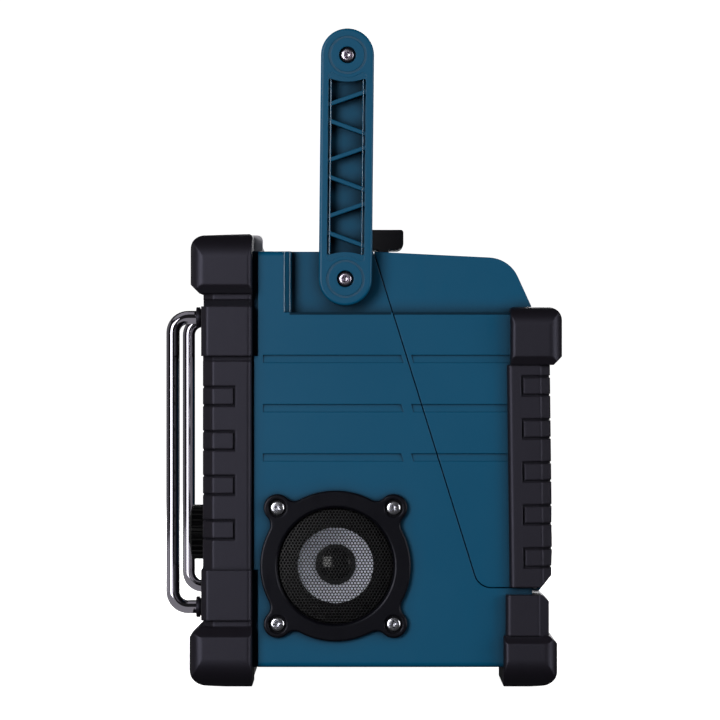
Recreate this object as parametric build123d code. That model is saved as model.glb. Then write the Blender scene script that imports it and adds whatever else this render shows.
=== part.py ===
from build123d import *

import os
from math import asin, cos, radians, sin, tan

# Millimetres. X runs across the radio, -Y is its front, +Y its battery cover, Z is up.
# The origin is on the ground below the middle of the radio.

# Fits shared by the whole radio
SEAT_GAP = 0.3          # round a captive piece in its pocket
RUN_GAP = 0.05          # radial, between a shaft and its bore
TRIM_GAP = 0.15         # beside a moving piece that is guided by its neighbours

# Body shell: cabinet and battery cover share one outline
BODY_WIDTH = 248.0
BODY_HEIGHT = 190.1
BODY_LIFT = 9.1         # underside above the ground
BODY_FRONT = -58.0
BODY_REAR = 77.4
WALL = 3.0
BASE_ROUND = 6.0
FLANK_ROUND = 2.5       # edge between a flank and the outline
CREST_INSET = 10.0      # corner of the sloping top, ahead of the rear face
CREST_DROP = 3.1        # the same corner, below the flat top
CREST_ROUND = 15.0
SHOULDER_DROP = 25.0    # where the shoulder meets the rear face
NECK_Y = -47.7          # the flanks step in ahead of this line, below the bumpers
NECK_COLUMN_Y = -49.6   # and of this one beside the columns
NECK_STEP = 3.5

# Seam between cabinet and battery cover
SEAM_TOP_Y = 5.1
SEAM_LEAN = 17.3        # degrees off upright
SEAM_SHELF_Z = 45.5
SEAM_ROUND = 8.0
SEAM_GAP = 0.5

# Side recess that the folded handle lies in
RECESS_DEPTH = 9.0
LEDGE_DROP = 28.0       # ledge below the flat top
LIP_Y = -32.6
LIP_BEVEL_Y = 3.4
LIP_BEVEL_X = 4.0

# Shallow bands moulded across both flanks
BAND_DROP = 47.4        # top of the highest band below the flat top
BAND_PITCH = 22.5
BAND_HEIGHT = 3.6
BAND_COUNT = 3
BAND_DEPTH = 0.9
BAND_TOE = 0.3          # depth left at the lower edge of a band
BAND_FRONT_Y = -45.5
BAND_END_GAP = 2.2      # plain strip each side of the seam

# Corner mouldings: how far each level stands out from a flank
HEAD_PROUD = 7.0
BLOCK_PROUD = 5.5
COLUMN_PROUD = 4.0
NECK_PROUD = 3.0
# and how far it stands out from the front face
HEAD_AHEAD = 20.5
BLOCK_AHEAD = 15.7
COLUMN_AHEAD = 15.0
NECK_AHEAD = 14.8
FOOT_AHEAD = 21.0
CORNER_LAP = 7.6        # length of flank that a head or block covers
COLUMN_LAP = 7.4
BLOCK_INNER = 84.0      # inner end of the blocks, from the middle of the radio
COLUMN_INNER = 100.0
REAR_FOOT_INNER = 56.0
CORNER_BEVEL = 4.6      # bevel of the upright outer edges
BLOCK_BEVEL = 2.6       # the same on the front's upper and lower blocks
CORNER_ROUND = 6.0      # plan rounding of heads and feet
INNER_ROUND = 2.0       # smaller roundings, from the front's inner edges
LAP_ROUND = 1.5         # to the edges that lie against the flank
FOLD_ROUND = 1.0        # and the folds beside a chamfer
SOLE_ROUND = 0.8
FLANK_LAP_ROUND = 2.2   # front moulding's edge that lies on the flank
CHAMFER_ROUND = 0.6

# Levels of the front moulding, below the flat top or above the ground
HEAD_RISE = 8.0
HEAD_DROP = 19.4
HEAD_SLOPE = 1.0        # fall of the head's top towards the front
HEAD_ROLL = 11.0        # rolled edge between a head's face and its top
HEAD_NOSE = 6.5
HEAD_CHAMFER = 4.1
BLOCK_TOP_DROP = 25.2
BLOCK_BOTTOM_DROP = 47.9
UNDERCUT = 2.3
UNDERCUT_STEP = 2.0
NECK_GROOVE = 3.0       # groove between the neck's band and the block
LOW_BLOCK_TOP = 53.7
LOW_BLOCK_BOTTOM = 30.7
FOOT_TOP = 27.9
FOOT_CHAMFER = 4.7
FOOT_BEVEL_RUN = 0.8    # run over rise of the foot's upper bevel at the flank
FOOT_ROLL = 13.0
FOOT_NOSE = 8.0
FOOT_TOE_RISE = 1.1     # lift of the sole towards its outer end
SOLE_FLAT = 11.0        # level part of the sole

# Grooved pads on the columns
PAD_HEIGHT = 7.4
PAD_REACH = 13.9        # from the moulding's front face to the pad's rear edge
PAD_PITCH = 20.3
PAD_COUNT = 4
GROOVE = 1.0
GROOVE_DEPTH = 1.1
PAD_INNER = 114.0       # where a pad ends on the front face

# Rear block and foot below the cover
REAR_BLOCK_BEHIND = 7.7
REAR_FOOT_BEHIND = 11.4
REAR_BLOCK_LAP = 12.1
REAR_FOOT_LAP = 13.1
REAR_BLOCK_TOP = 42.4
REAR_FOOT_TOP = 23.7
REAR_FOOT_CHAMFER = 3.5
REAR_BLOCK_CHAMFER = 3.0
REAR_FOOT_NOSE = 7.5

# Cover bumpers
COVER_HEAD_BEHIND = 13.6
COVER_HEAD_TOP_DROP = 25.5
COVER_HEAD_HEIGHT = 26.5
COVER_HEAD_LAP = 10.0
COVER_HEAD_ROLL = 8.0
COVER_HEAD_CHAMFER = 4.0
COVER_COLUMN_BEHIND = 8.8
COVER_COLUMN_LAP = 10.9
COVER_COLUMN_LEAN = 0.7  # degrees
COVER_FOOT_CHAMFER = 4.8
COVER_FOOT_BEVEL = 5.5  # height of the same chamfer
COVER_PAD_COUNT = 5
COVER_PAD_PITCH = 19.6
COVER_PAD_REACH = 12.4
COVER_PAD_RISE = 2.0    # the pads' middle above the column's middle

# Cover hinge
HINGE_BEHIND = 2.9      # pin axis behind the rear face
HINGE_Z = 45.0
HINGE_PIN_R = 2.0
HINGE_PIN_END = 1.5     # of pin beyond the outer barrels
BARREL_R = 3.5
BARREL_WEB = 9.0
BARREL_ENDS = (-82.0, -60.0, -14.0, 14.0, 60.0, 82.0)
BARREL_CLEAR = 0.35

# Latch on the top
LATCH_PIN_Y = -4.0
LATCH_PIN_RISE = 7.1    # pin above the flat top
LATCH_PIN_R = 1.5
LATCH_HALF = 20.0
LATCH_KNUCKLE_R = 5.2
LATCH_REAR_Y = 19.7
LATCH_THICK = 9.6
LATCH_RISE = 12.9       # top of the latch above the flat top
LATCH_LEG_Y = 7.8
LATCH_LEG = 4.8
LATCH_TOP_ROUND = 1.4
LATCH_UNDER_ROUND = 3.0
LATCH_EDGE = 0.8
LATCH_SCOOP_R = 5.4     # finger scoop along the rear edge
LATCH_SCOOP_HALF = 14.0
LATCH_LEG_DROP = 4.4    # foot of the leg below the flat top
LATCH_SWEEP = 2.7       # room behind the leg for it to swing out
LATCH_NOTCH_HALF = 6.0
LATCH_NOTCH = 6.6
EAR = 4.0
EAR_R = 4.6
SPRING_R = 3.3
SPRING_WIRE_R = 0.35
SPRING_PITCH = 1.8
SPRING_TURNS = 4

# Handle
PIVOT_Y = -7.9
PIVOT_DROP = 12.7       # pivot below the flat top
ARM_REACH = 102.2
ARM_LEAN = 0.56         # degrees, to the rear, in the raised position
ARM_R = 12.15
ARM_THICK = 10.5
ARM_STANDOFF = 1.0      # arm clear of the recess floor
ARM_EDGE = 1.2
WINDOW_WIDTH = 17.0
WINDOW_BOSS_R = 10.3
WINDOW_ROUND = 1.5
WINDOW_FLOOR = 2.5
RIB_WIDTH = 1.8
RIB_SLOPE = 19.6        # degrees
RIB_OFFSET = 6.6        # of each rib from the middle of its pair
RIB_PAIR_PITCH = 25.6
RIB_PAIR_SHIFT = -0.7
RIB_PAIRS = 3
RIB_DROP = 1.2
RING_GROOVE_R = 8.2
RING_GROOVE = 0.9
RING_GROOVE_DEPTH = 0.6
ARM_SCREW_HEAD_R = 3.3
ARM_SCREW_HEAD = 1.9
ARM_SCREW_POCKET_R = 3.85
ARM_SCREW_POCKET = 2.4
PIVOT_SHANK_R = 3.0
GRIP_SHANK_R = 2.5
SHANK_GRIP = 12.0       # thread length beyond the arm
PIVOT_BOSS_R = 9.0
GRIP_CORE_R = 8.0
GRIP_CORE_BORE_R = 5.5
GRIP_PLUG = 16.0        # solid ends of the core that take the screws
GRIP_R = 12.0
GRIP_END_GAP = 3.0
GRIP_END_ROUND = 2.0
GRIP_RIB_COUNT = 22
GRIP_RIB_DEPTH = 0.7
GRIP_GROOVE_SHARE = 1 / 3  # of the rings' pitch

# Loudspeakers, one in each flank
SPEAKER_Y = -12.4
SPEAKER_Z = 55.5
RING_R = 34.4
RING_THICK = 3.0
RING_EAR_R = 6.3
RING_NECK_ROUND = 5.0
RING_SCREW_HALF = 26.5
RING_OPENING_R = 26.4
RING_BEVEL = 1.0
RING_POCKET_R = 4.1
RING_POCKET = 1.4
SPEAKER_SCREW_R = 1.7
SPEAKER_HEAD_R = 3.4
SPEAKER_HEAD = 1.6
GRILLE_LAP = 2.8
GRILLE_THICK = 0.8
GRILLE_DOME = 1.2
WALL_OPENING_LAP = 1.2
BASKET_SQUARE = 64.0
BASKET_FLANGE = 2.0
BASKET_RIM = 2.5
BASKET_DEPTH = 18.0
BASKET_WALL = 1.5
BASKET_BACK_R = 20.0
BASKET_FRONT_R = 31.0
MAGNET_R = 22.0
MAGNET_THICK = 13.0
MAGNET_EDGE = 1.0
ROLL_R = 3.4
ROLL_CENTRE_R = 20.7
CONE_THICK = 0.6
CONE_DEPTH = 8.5
CONE_THROAT_R = 9.3
CAP_RISE = 3.0

# Front bezel and console
BEZEL_AHEAD = 8.0
BEZEL_WALL = 2.5
HOOD_RISE = 8.4
HOOD_LAP = 1.2          # of the hood over the cabinet's top
HOOD_ROUND = 2.3
HOOD_FRONT_ROUND = 6.0
ROOT_GUARD_GAP = 1.0    # between the raised antenna and the hood's end
CHIN_REAR_Y = -50.4
CHIN_Z = 1.8
CHIN_ROUND = 4.0
CHIN_EDGE = 1.0
CONSOLE_HALF = 62.0
CONSOLE_BOTTOM = 36.0
CONSOLE_TOP = 192.0
CONSOLE_ROUND = 8.0
CONSOLE_EDGE = 1.5
CONSOLE_AHEAD = 2.5     # face ahead of the bezel
CONSOLE_SKIN = 3.0
CONSOLE_FLANGE = 2.0
CONSOLE_LAP = 4.0
WIRE_SLOT_WIDTH = 62.0  # in the cabinet's front, behind the console
WIRE_SLOT_HEIGHT = 20.0
BOARD_THICK = 1.6
LCD_WIDTH = 84.0
LCD_HEIGHT = 38.0
LCD_Z = 166.0
LCD_WINDOW = 2.0
LCD_BORDER = 3.0
LCD_ROUND = 4.5
LCD_SINK = 0.4
LCD_MODULE_INSET = 1.0

# Buttons: a main row under the display, a row of presets, and tone beside the knob
BUTTON_HEIGHT = 8.6
BUTTON_ROUND = 2.6
BUTTON_EDGE = 0.8
BUTTON_LAP = 1.0        # of the retaining flange behind the panel
BUTTON_PROUD = 2.0
BUTTON_FLANGE = 1.2
BUTTON_TRAVEL = 1.2
BUTTON_STEM_R = 2.0
SWITCH_HEIGHT = 2.0
SWITCH_HALF = 3.0
MAIN_ROW_Z = 130.0
MAIN_ROW_PITCH = 27.0
MAIN_ROW_WIDTH = 19.0
MAIN_ROW = ("power", "source", "radio_alarm", "buzzer_alarm")
PRESET_ROW_Z = 110.0
PRESET_PITCH = 22.0
PRESET_WIDTH = 15.0
PRESET_COUNT = 5
TONE_BUTTON_X = -40.0
TONE_BUTTON_Z = 72.0

# Tuning knob
KNOB_Z = 66.2
KNOB_R = 13.2
KNOB_LENGTH = 15.0
KNOB_DOME = 1.6
KNOB_GAP = 0.6
KNOB_FLUTES = 26
KNOB_FLUTE_R = 0.8
KNOB_TRIM = 1.2         # bright ring round the knob's foot
KNOB_TRIM_PROUD = 0.8
KNOB_TRIM_SUNK = 1.2
KNOB_SHAFT_R = 3.0
KNOB_SHAFT_GRIP = 10.0
ENCODER_SIZE = 13.0
BUSHING_R = 4.6

# Sockets
AUX_X = 40.0
AUX_Z = 72.0
AUX_R = 5.0
AUX_BORE_R = 1.8
AUX_BORE_DEPTH = 8.5
DC_Y = 38.0
DC_Z = 27.0
DC_R = 5.0
DC_BORE_R = 3.2
DC_LENGTH = 12.0
DC_PIN_R = 1.05
DC_PIN_SET_BACK = 1.0
FLAP_WIDTH = 21.4
FLAP_HEIGHT = 14.4
FLAP_THICK = 2.0

# Guard tubes in front of the console
GUARD_X = 93.0
GUARD_TUBE_R = 3.1
GUARD_AHEAD = 33.0      # foremost line of a tube ahead of the body's front
GUARD_BEND = 7.0
GUARD_TOP_DROP = 30.0
GUARD_BOTTOM = 35.1
GUARD_SOCKET = 13.0
COLLAR_R = 4.85
COLLAR_FLANGE = 1.9
COLLAR_NECK = 1.5
COLLAR_NECK_R = 4.0
COLLAR_EDGE = 0.3

# Whip antenna in a trough across the top, behind the hood. It points to the left.
TROUGH_Y = -51.4
TROUGH_WIDTH = 9.6
TROUGH_DEPTH = 9.0
TROUGH_END = 8.0        # of the trough beyond the pivot
FINGER_GAP = 9.0        # of the trough beyond the antenna's tip
WHIP_DROP = 4.5         # axis below the flat top
WHIP_PIVOT_X = 70.0
WHIP_ROOT_R = 3.3
WHIP_TIP_R = 2.4
WHIP_LENGTH = 144.0
WHIP_NECK = 6.6         # from the pivot to the round part
WHIP_NECK_EDGE = 0.7
WHIP_ROOT_LENGTH = 13.2
WHIP_TAPER = 3.3        # from the root down to the coated part
WHIP_STEP = 0.4         # left at the end of the taper
WHIP_TONGUE = 3.6
WHIP_TONGUE_R = 2.9
WHIP_PIN_R = 1.2
WHIP_EAR_OUTER = 6.0
WHIP_EAR_INNER = 5.0
WHIP_EAR_DROP = 0.8

# Battery tray behind the seam
TRAY_SET_BACK = 1.6
TRAY_THICK = 2.5
TRAY_LEDGE = 3.0
TUB_HALF = 44.0
TUB_BACK_Y = -6.0
TUB_BOTTOM = 50.0
TUB_TOP_DROP = 9.5
GASKET = 1.6
GASKET_LIP = 0.4        # of the seal past the seam, inside the cover
SHOE_HALF = 26.0
SHOE_HEIGHT = 46.0
SHOE_BOTTOM = 62.0
SHOE_BASE = 3.0
RAIL_NECK_HALF = 20.0
RAIL_NECK = 3.0
RAIL_HEAD = 3.0
BLADE_PITCH = 14.0
BLADE = (1.0, 6.0, 26.0)  # thickness, depth, height
SHOE_SLOT = 10.0        # relief at the foot of the shoe's face
SHOE_SLOT_HALF = 5.0
TRAY_SCREW_HEAD_R = 2.75
TRAY_SCREW_HEAD = 2.0
TRAY_SCREW_R = 1.5
TRAY_SCREW_BOSS_R = 5.5
TRAY_SCREW_LENGTH = 14.0
TRAY_SCREW_INSET = 5.0
TRAY_SCREW_DROP = 40.0  # upper screws, down the slope from the flat top
TRAY_SCREW_FOOT = 21.0  # lowest screws, up the slope from its foot
TRAY_SCREW_PITCH = 35.0  # between the two lower pairs

# Back-up cell box in the tray
CELL_BOX_SHIFT = 3.5    # of its middle from midway between tub and flank
CELL_BOX_DROP = 74.0    # middle of the box, down the slope from the flat top
CELL_BOX_WIDTH = 54.0
CELL_BOX_HEIGHT = 31.0
CELL_BOX_DEPTH = 17.0
CELL_BOX_WALL = 1.6
CELL_LID = 2.0
LID_LIFT = 0.1          # of the lid's pivot above its middle, to clear the tray
LID_BARREL_R = 1.5
LID_PIN_R = 0.9

# Boards, their largest components and the bar antenna inside
MAIN_BOARD_WIDTH = 78.0
MAIN_BOARD_HEIGHT = 84.0
MAIN_BOARD_Z = 110.0
BOARD_POST = 10.0
BOARD_POST_R = 3.0
AMPLIFIER = ((-30.0, 4.0), 12.0, (14.0, 34.0))  # across, off the board, up from its middle
TUNER = ((8.0, 34.0), 6.0, (-30.0, -8.0))
CAPACITOR_R = 5.0
CAPACITOR_HEIGHT = 13.0
CAPACITOR_DROP = 18.0   # below the board's middle
CAPACITOR_SPOTS = (-26.0, -13.0)
BAR_ANTENNA_Y = -30.0
BAR_ANTENNA_DROP = 14.0
BAR_ANTENNA_R = 5.0
BAR_ANTENNA_LENGTH = 100.0
BAR_SADDLE = 8.0
BAR_SADDLE_WALL = 2.0
BAR_SADDLE_X = 38.0

# Worked out from the sizes above
FLANK = BODY_WIDTH / 2
TOP = BODY_LIFT + BODY_HEIGHT
INNER_FLANK = FLANK - WALL
LEDGE_Z = TOP - LEDGE_DROP
RECESS_FLOOR = FLANK - RECESS_DEPTH
HINGE_Y = BODY_REAR + HINGE_BEHIND
PIVOT_Z = TOP - PIVOT_DROP
ARM_INNER = RECESS_FLOOR + ARM_STANDOFF
ARM_OUTER = ARM_INNER + ARM_THICK
COVER_EDGE_Z = SEAM_SHELF_Z + SEAM_GAP / 2
BEZEL_FRONT = BODY_FRONT - BEZEL_AHEAD
CONSOLE_FRONT = BEZEL_FRONT - CONSOLE_AHEAD
CONSOLE_BACK = CONSOLE_FRONT + CONSOLE_SKIN
BOARD_FRONT = BODY_FRONT - BOARD_THICK
FAR = 400.0             # beyond every piece, for cutters


# Drawing helpers

def outline(*corners):
    """Closed outline through corners given as (across, up, rounding)."""
    points = [(across, up) for across, up, _ in corners]
    radii = [rounding for _, _, rounding in corners]
    return make_face(FilletPolyline(*points, radius=radii, close=True))


def along_x(sketch, start, end):
    """Extrude a sketch drawn as (Y, Z) between two X positions."""
    return extrude(Plane.YZ.offset(start) * sketch, amount=end - start)


def along_y(sketch, start, end):
    """Extrude a sketch drawn as (X, Z) between two Y positions."""
    return extrude(Plane.XZ.offset(-start) * sketch, amount=start - end)


def along_z(sketch, start, end):
    """Extrude a sketch drawn as (X, Y) between two heights."""
    return extrude(Plane.XY.offset(start) * sketch, amount=end - start)


def block(x_range, y_range, z_range):
    """Plain rectangular block between three pairs of limits."""
    (x0, x1), (y0, y1), (z0, z1) = x_range, y_range, z_range
    return Pos((x0 + x1) / 2, (y0 + y1) / 2, (z0 + z1) / 2) * Box(x1 - x0, y1 - y0, z1 - z0)


def disc_x(radius, y, z, start, end):
    """Round bar along X."""
    return along_x(Pos(y, z) * Circle(radius), start, end)


def disc_y(radius, x, z, start, end):
    """Round bar along Y."""
    return along_y(Pos(x, z) * Circle(radius), start, end)


def dome_arc(foot, reach, rise):
    """Arc of a dome, from its foot (along, radius) to its crown on the axis."""
    radius = (reach**2 + rise**2) / (2 * rise)
    middle = asin(reach / radius) / 2
    centre = foot + rise - radius
    return ThreePointArc(
        (foot, reach),
        (centre + radius * cos(middle), radius * sin(middle)),
        (foot + rise, 0),
    )


def both_sides(piece):
    """The piece and its mirror image across the middle of the radio."""
    return piece + mirror(piece, about=Plane.YZ)


# Body shell

def body_outline():
    """Side view of cabinet and cover together."""
    return outline(
        (BODY_FRONT, BODY_LIFT, BASE_ROUND),
        (BODY_REAR, BODY_LIFT, BASE_ROUND),
        (BODY_REAR, TOP - SHOULDER_DROP, 0),
        (BODY_REAR - CREST_INSET, TOP - CREST_DROP, CREST_ROUND),
        (SEAM_TOP_Y, TOP, 0),
        (BODY_FRONT, TOP, 0),
    )


def side_recess(inset):
    """Room for the folded handle in both flanks, its faces moved out by inset."""
    floor = RECESS_FLOOR - inset
    lip = LIP_Y - inset
    plan = outline(
        (floor, lip, 0),
        (FLANK - LIP_BEVEL_X, lip, 0),
        (FLANK, lip - LIP_BEVEL_Y, 0),
        (FLANK + LIP_BEVEL_X, lip - 2 * LIP_BEVEL_Y, 0),
        (FAR, lip - 2 * LIP_BEVEL_Y, 0),
        (FAR, FAR, 0),
        (floor, FAR, 0),
    )
    return both_sides(along_z(plan, LEDGE_Z - inset, FAR))


def neck_step(inset):
    """Step in both flanks ahead of the neck line, which runs further forward by the columns."""
    depth = (FLANK - NECK_STEP - inset, FAR)
    side = block(depth, (-FAR, NECK_COLUMN_Y + inset), (-FAR, FAR))
    for ends in ((-FAR, LOW_BLOCK_TOP + inset), (TOP - BLOCK_BOTTOM_DROP - inset, FAR)):
        side += block(depth, (-FAR, NECK_Y + inset), ends)
    return both_sides(side)


def rounded_slab(half_width):
    """The body outline as a slab with rounded side edges."""
    slab = along_x(body_outline(), -half_width, half_width)
    side_edges = slab.edges().filter_by(lambda edge: abs(edge.center().X) > half_width - WALL)
    return fillet(side_edges, FLANK_ROUND)


def body_block():
    """Outside of the body with its edges left sharp."""
    slab = along_x(body_outline(), -FLANK, FLANK)
    return slab - side_recess(0) - neck_step(0)


def cavity(inset):
    """Inside of the body, at the given depth below its outer faces."""
    profile = offset(body_outline(), -inset, kind=Kind.INTERSECTION)
    slab = along_x(profile, inset - FLANK, FLANK - inset)
    return slab - side_recess(inset) - neck_step(inset) - antenna_trough(inset)


def behind_seam(shift):
    """Everything behind the seam, its boundary moved towards the cabinet by shift."""
    lean = radians(SEAM_LEAN)

    def seam_y(z):
        return SEAM_TOP_Y + (TOP - z) * tan(lean) - shift / cos(lean)

    shelf = SEAM_SHELF_Z - shift
    zone = outline(
        (seam_y(FAR), FAR, 0),
        (seam_y(shelf), shelf, SEAM_ROUND + shift),
        (FAR, shelf, 0),
        (FAR, FAR, 0),
    )
    return along_x(zone, -FAR, FAR)


def flank_bands():
    """Cutters for the shallow bands, broken off either side of the seam."""
    top = TOP - BAND_DROP
    section = outline(
        (FLANK - BAND_DEPTH, top, 0),
        (FLANK + BAND_DEPTH, top, 0),
        (FLANK + BAND_DEPTH, top - BAND_HEIGHT, 0),
        (FLANK - BAND_TOE, top - BAND_HEIGHT, 0),
    )
    plain_strip = behind_seam(BAND_END_GAP) - behind_seam(-BAND_END_GAP)
    band = both_sides(along_y(section, BAND_FRONT_Y, BODY_REAR)) - plain_strip
    return [Pos(0, 0, -BAND_PITCH * row) * band for row in range(BAND_COUNT)]


def body_shell():
    """Hollow body before it is parted along the seam."""
    flanks = rounded_slab(FLANK) - side_recess(0) - neck_step(0)
    middle = rounded_slab(RECESS_FLOOR)
    return flanks + middle - cavity(WALL) - flank_bands()


# Cover hinge

def barrel(x_start, x_end, web_foot, web_end):
    """Hinge barrel with a web down or up to the rear wall."""
    wall_y = BODY_REAR - WALL / 2
    web = outline(
        (wall_y, web_foot, 0),
        (wall_y, web_end, 0),
        (HINGE_Y + BARREL_R, HINGE_Z, 0),
        (HINGE_Y, HINGE_Z, 0),
    )
    eye = Pos(HINGE_Y, HINGE_Z) * Circle(BARREL_R)
    return along_x(web + eye, x_start + TRIM_GAP, x_end - TRIM_GAP)


def barrel_spans(own):
    """Spans along the pin of the cabinet's (0) or the cover's (1) barrels."""
    return list(zip(BARREL_ENDS, BARREL_ENDS[1:]))[own::2]


def barrel_notches(spans):
    """Room round the other half's barrels."""
    return [disc_x(BARREL_R + BARREL_CLEAR, HINGE_Y, HINGE_Z, *span) for span in spans]


def hinge_bore():
    return disc_x(HINGE_PIN_R + RUN_GAP, HINGE_Y, HINGE_Z, -FAR, FAR)


def hinge_pin():
    half = BARREL_ENDS[-1] + HINGE_PIN_END
    return disc_x(HINGE_PIN_R, HINGE_Y, HINGE_Z, -half, half)


# Whip antenna

def antenna_trough(inset):
    """The trough across the top, its faces moved out by inset."""
    half = TROUGH_WIDTH / 2 + inset
    left = WHIP_PIVOT_X - WHIP_LENGTH - FINGER_GAP - inset
    right = WHIP_PIVOT_X + TROUGH_END + inset
    return block(
        (left, right), (TROUGH_Y - half, TROUGH_Y + half), (TOP - TROUGH_DEPTH - inset, FAR)
    )


def antenna_ears():
    """Pair of ears in the trough that hold the antenna's pin."""
    ears = block(
        (WHIP_PIVOT_X - WHIP_EAR_INNER, WHIP_PIVOT_X + WHIP_EAR_OUTER),
        (TROUGH_Y - TROUGH_WIDTH / 2, TROUGH_Y + TROUGH_WIDTH / 2),
        (TOP - TROUGH_DEPTH, TOP - WHIP_EAR_DROP),
    )
    slot_half = WHIP_TONGUE / 2 + TRIM_GAP
    slot = block((-FAR, FAR), (TROUGH_Y - slot_half, TROUGH_Y + slot_half), (0, FAR))
    return ears - slot


def antenna_pin(radius):
    """Cross pin, or its bore, through the ears and the tongue."""
    half = TROUGH_WIDTH / 2
    return disc_y(radius, WHIP_PIVOT_X, TOP - WHIP_DROP, TROUGH_Y - half, TROUGH_Y + half)


def whip_antenna():
    """Rubber-coated whip: flat tongue, tapering rod and rounded tip.

    It is drawn pointing along +X from its pivot, then turned to the left.
    """
    root_end = WHIP_NECK + WHIP_ROOT_LENGTH
    rod = make_face(
        Polyline(
            (WHIP_LENGTH, 0),
            (WHIP_NECK, 0),
            (WHIP_NECK, WHIP_ROOT_R - WHIP_NECK_EDGE),
            (WHIP_NECK + WHIP_NECK_EDGE, WHIP_ROOT_R),
            (root_end, WHIP_ROOT_R),
            (root_end + WHIP_TAPER, WHIP_TIP_R + WHIP_STEP),
            (WHIP_LENGTH - WHIP_TIP_R, WHIP_TIP_R),
        )
        + ThreePointArc(
            (WHIP_LENGTH - WHIP_TIP_R, WHIP_TIP_R),
            (WHIP_LENGTH - WHIP_TIP_R * (1 - sin(radians(45))), WHIP_TIP_R * sin(radians(45))),
            (WHIP_LENGTH, 0),
        )
    )
    shaft = revolve(rod, Axis.X)
    tongue = along_y(
        Circle(WHIP_TONGUE_R) + Pos(WHIP_NECK / 2, 0) * Rectangle(WHIP_NECK, 2 * WHIP_TONGUE_R),
        -WHIP_TONGUE / 2,
        WHIP_TONGUE / 2,
    )
    bore = disc_y(WHIP_PIN_R + RUN_GAP, 0, 0, -WHIP_TONGUE, WHIP_TONGUE)
    whip = shaft + tongue - bore
    return Pos(WHIP_PIVOT_X, TROUGH_Y, TOP - WHIP_DROP) * Rot(0, 0, 180) * whip


# Latch

def latch_pin_z():
    return TOP + LATCH_PIN_RISE


def latch():
    """Lever with a leg that drops through the cover's top edge."""
    top = TOP + LATCH_RISE
    under = top - LATCH_THICK
    foot = TOP - LATCH_LEG_DROP
    leg_rear = LATCH_LEG_Y + LATCH_LEG
    profile = outline(
        (LATCH_PIN_Y, top, 0),
        (LATCH_REAR_Y, top, LATCH_TOP_ROUND),
        (LATCH_REAR_Y, under, LATCH_UNDER_ROUND),
        (leg_rear, under, LATCH_EDGE),
        (leg_rear, foot, LATCH_EDGE),
        (LATCH_LEG_Y, foot, LATCH_EDGE),
        (LATCH_LEG_Y, under, LATCH_EDGE),
        (LATCH_PIN_Y, under, 0),
    )
    knuckle = Pos(LATCH_PIN_Y, latch_pin_z()) * Circle(LATCH_KNUCKLE_R)
    lever = along_x(profile + knuckle, -LATCH_HALF, LATCH_HALF)
    notch = block(
        (-LATCH_NOTCH_HALF, LATCH_NOTCH_HALF),
        (-FAR, LATCH_PIN_Y + LATCH_NOTCH),
        (0, FAR),
    )
    bore = disc_x(LATCH_PIN_R + RUN_GAP, LATCH_PIN_Y, latch_pin_z(), -FAR, FAR)
    finger_lip = along_x(
        Pos(LATCH_REAR_Y - LATCH_LEG / 2, top + LATCH_LEG) * Circle(LATCH_SCOOP_R),
        -LATCH_SCOOP_HALF,
        LATCH_SCOOP_HALF,
    )
    return lever - notch - bore - finger_lip


def latch_ears():
    """Ears on the cabinet top, either side of the latch."""
    profile = outline(
        (LATCH_PIN_Y - LATCH_PIN_RISE, TOP - WALL / 2, 0),
        (LATCH_PIN_Y + LATCH_PIN_RISE, TOP - WALL / 2, 0),
        (LATCH_PIN_Y + EAR_R, latch_pin_z(), 0),
        (LATCH_PIN_Y - EAR_R, latch_pin_z(), 0),
    )
    eye = Pos(LATCH_PIN_Y, latch_pin_z()) * Circle(EAR_R)
    inner = LATCH_HALF + SEAT_GAP
    return both_sides(along_x(profile + eye, inner, inner + EAR))


def latch_pin(radius):
    reach = LATCH_HALF + SEAT_GAP + EAR
    return disc_x(radius, LATCH_PIN_Y, latch_pin_z(), -reach, reach)


def latch_slot():
    """Opening in the cover's top edge for the latch's leg."""
    half = LATCH_HALF + SEAT_GAP
    front = LATCH_LEG_Y - SEAT_GAP
    rear = LATCH_LEG_Y + LATCH_LEG + LATCH_SWEEP
    return block((-half, half), (front, rear), (TOP - LATCH_LEG_DROP - WALL, FAR))


def latch_spring():
    """Torsion spring round the latch pin, one leg down to the cabinet."""
    height = SPRING_PITCH * SPRING_TURNS
    path = Helix(SPRING_PITCH, height, SPRING_R)
    wire = Plane(path @ 0, z_dir=path % 0) * RegularPolygon(SPRING_WIRE_R, 6)
    coil = Rot(0, 90, 0) * Pos(0, 0, -height / 2) * sweep(wire, path=path, is_frenet=True)
    leg_top = SPRING_R - SPRING_WIRE_R
    leg = along_z(
        Pos(-height / 2, -SPRING_R) * Circle(SPRING_WIRE_R), -LATCH_PIN_RISE, leg_top / 2
    )
    return Pos(0, LATCH_PIN_Y, latch_pin_z()) * (coil + leg)


# Loudspeakers. Each piece is drawn for the right flank and mirrored for the left.

def screw_spots():
    """The four ring screws, as (Y, Z)."""
    reach = (-RING_SCREW_HALF, RING_SCREW_HALF)
    return [(SPEAKER_Y + dy, SPEAKER_Z + dz) for dy in reach for dz in reach]


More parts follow.
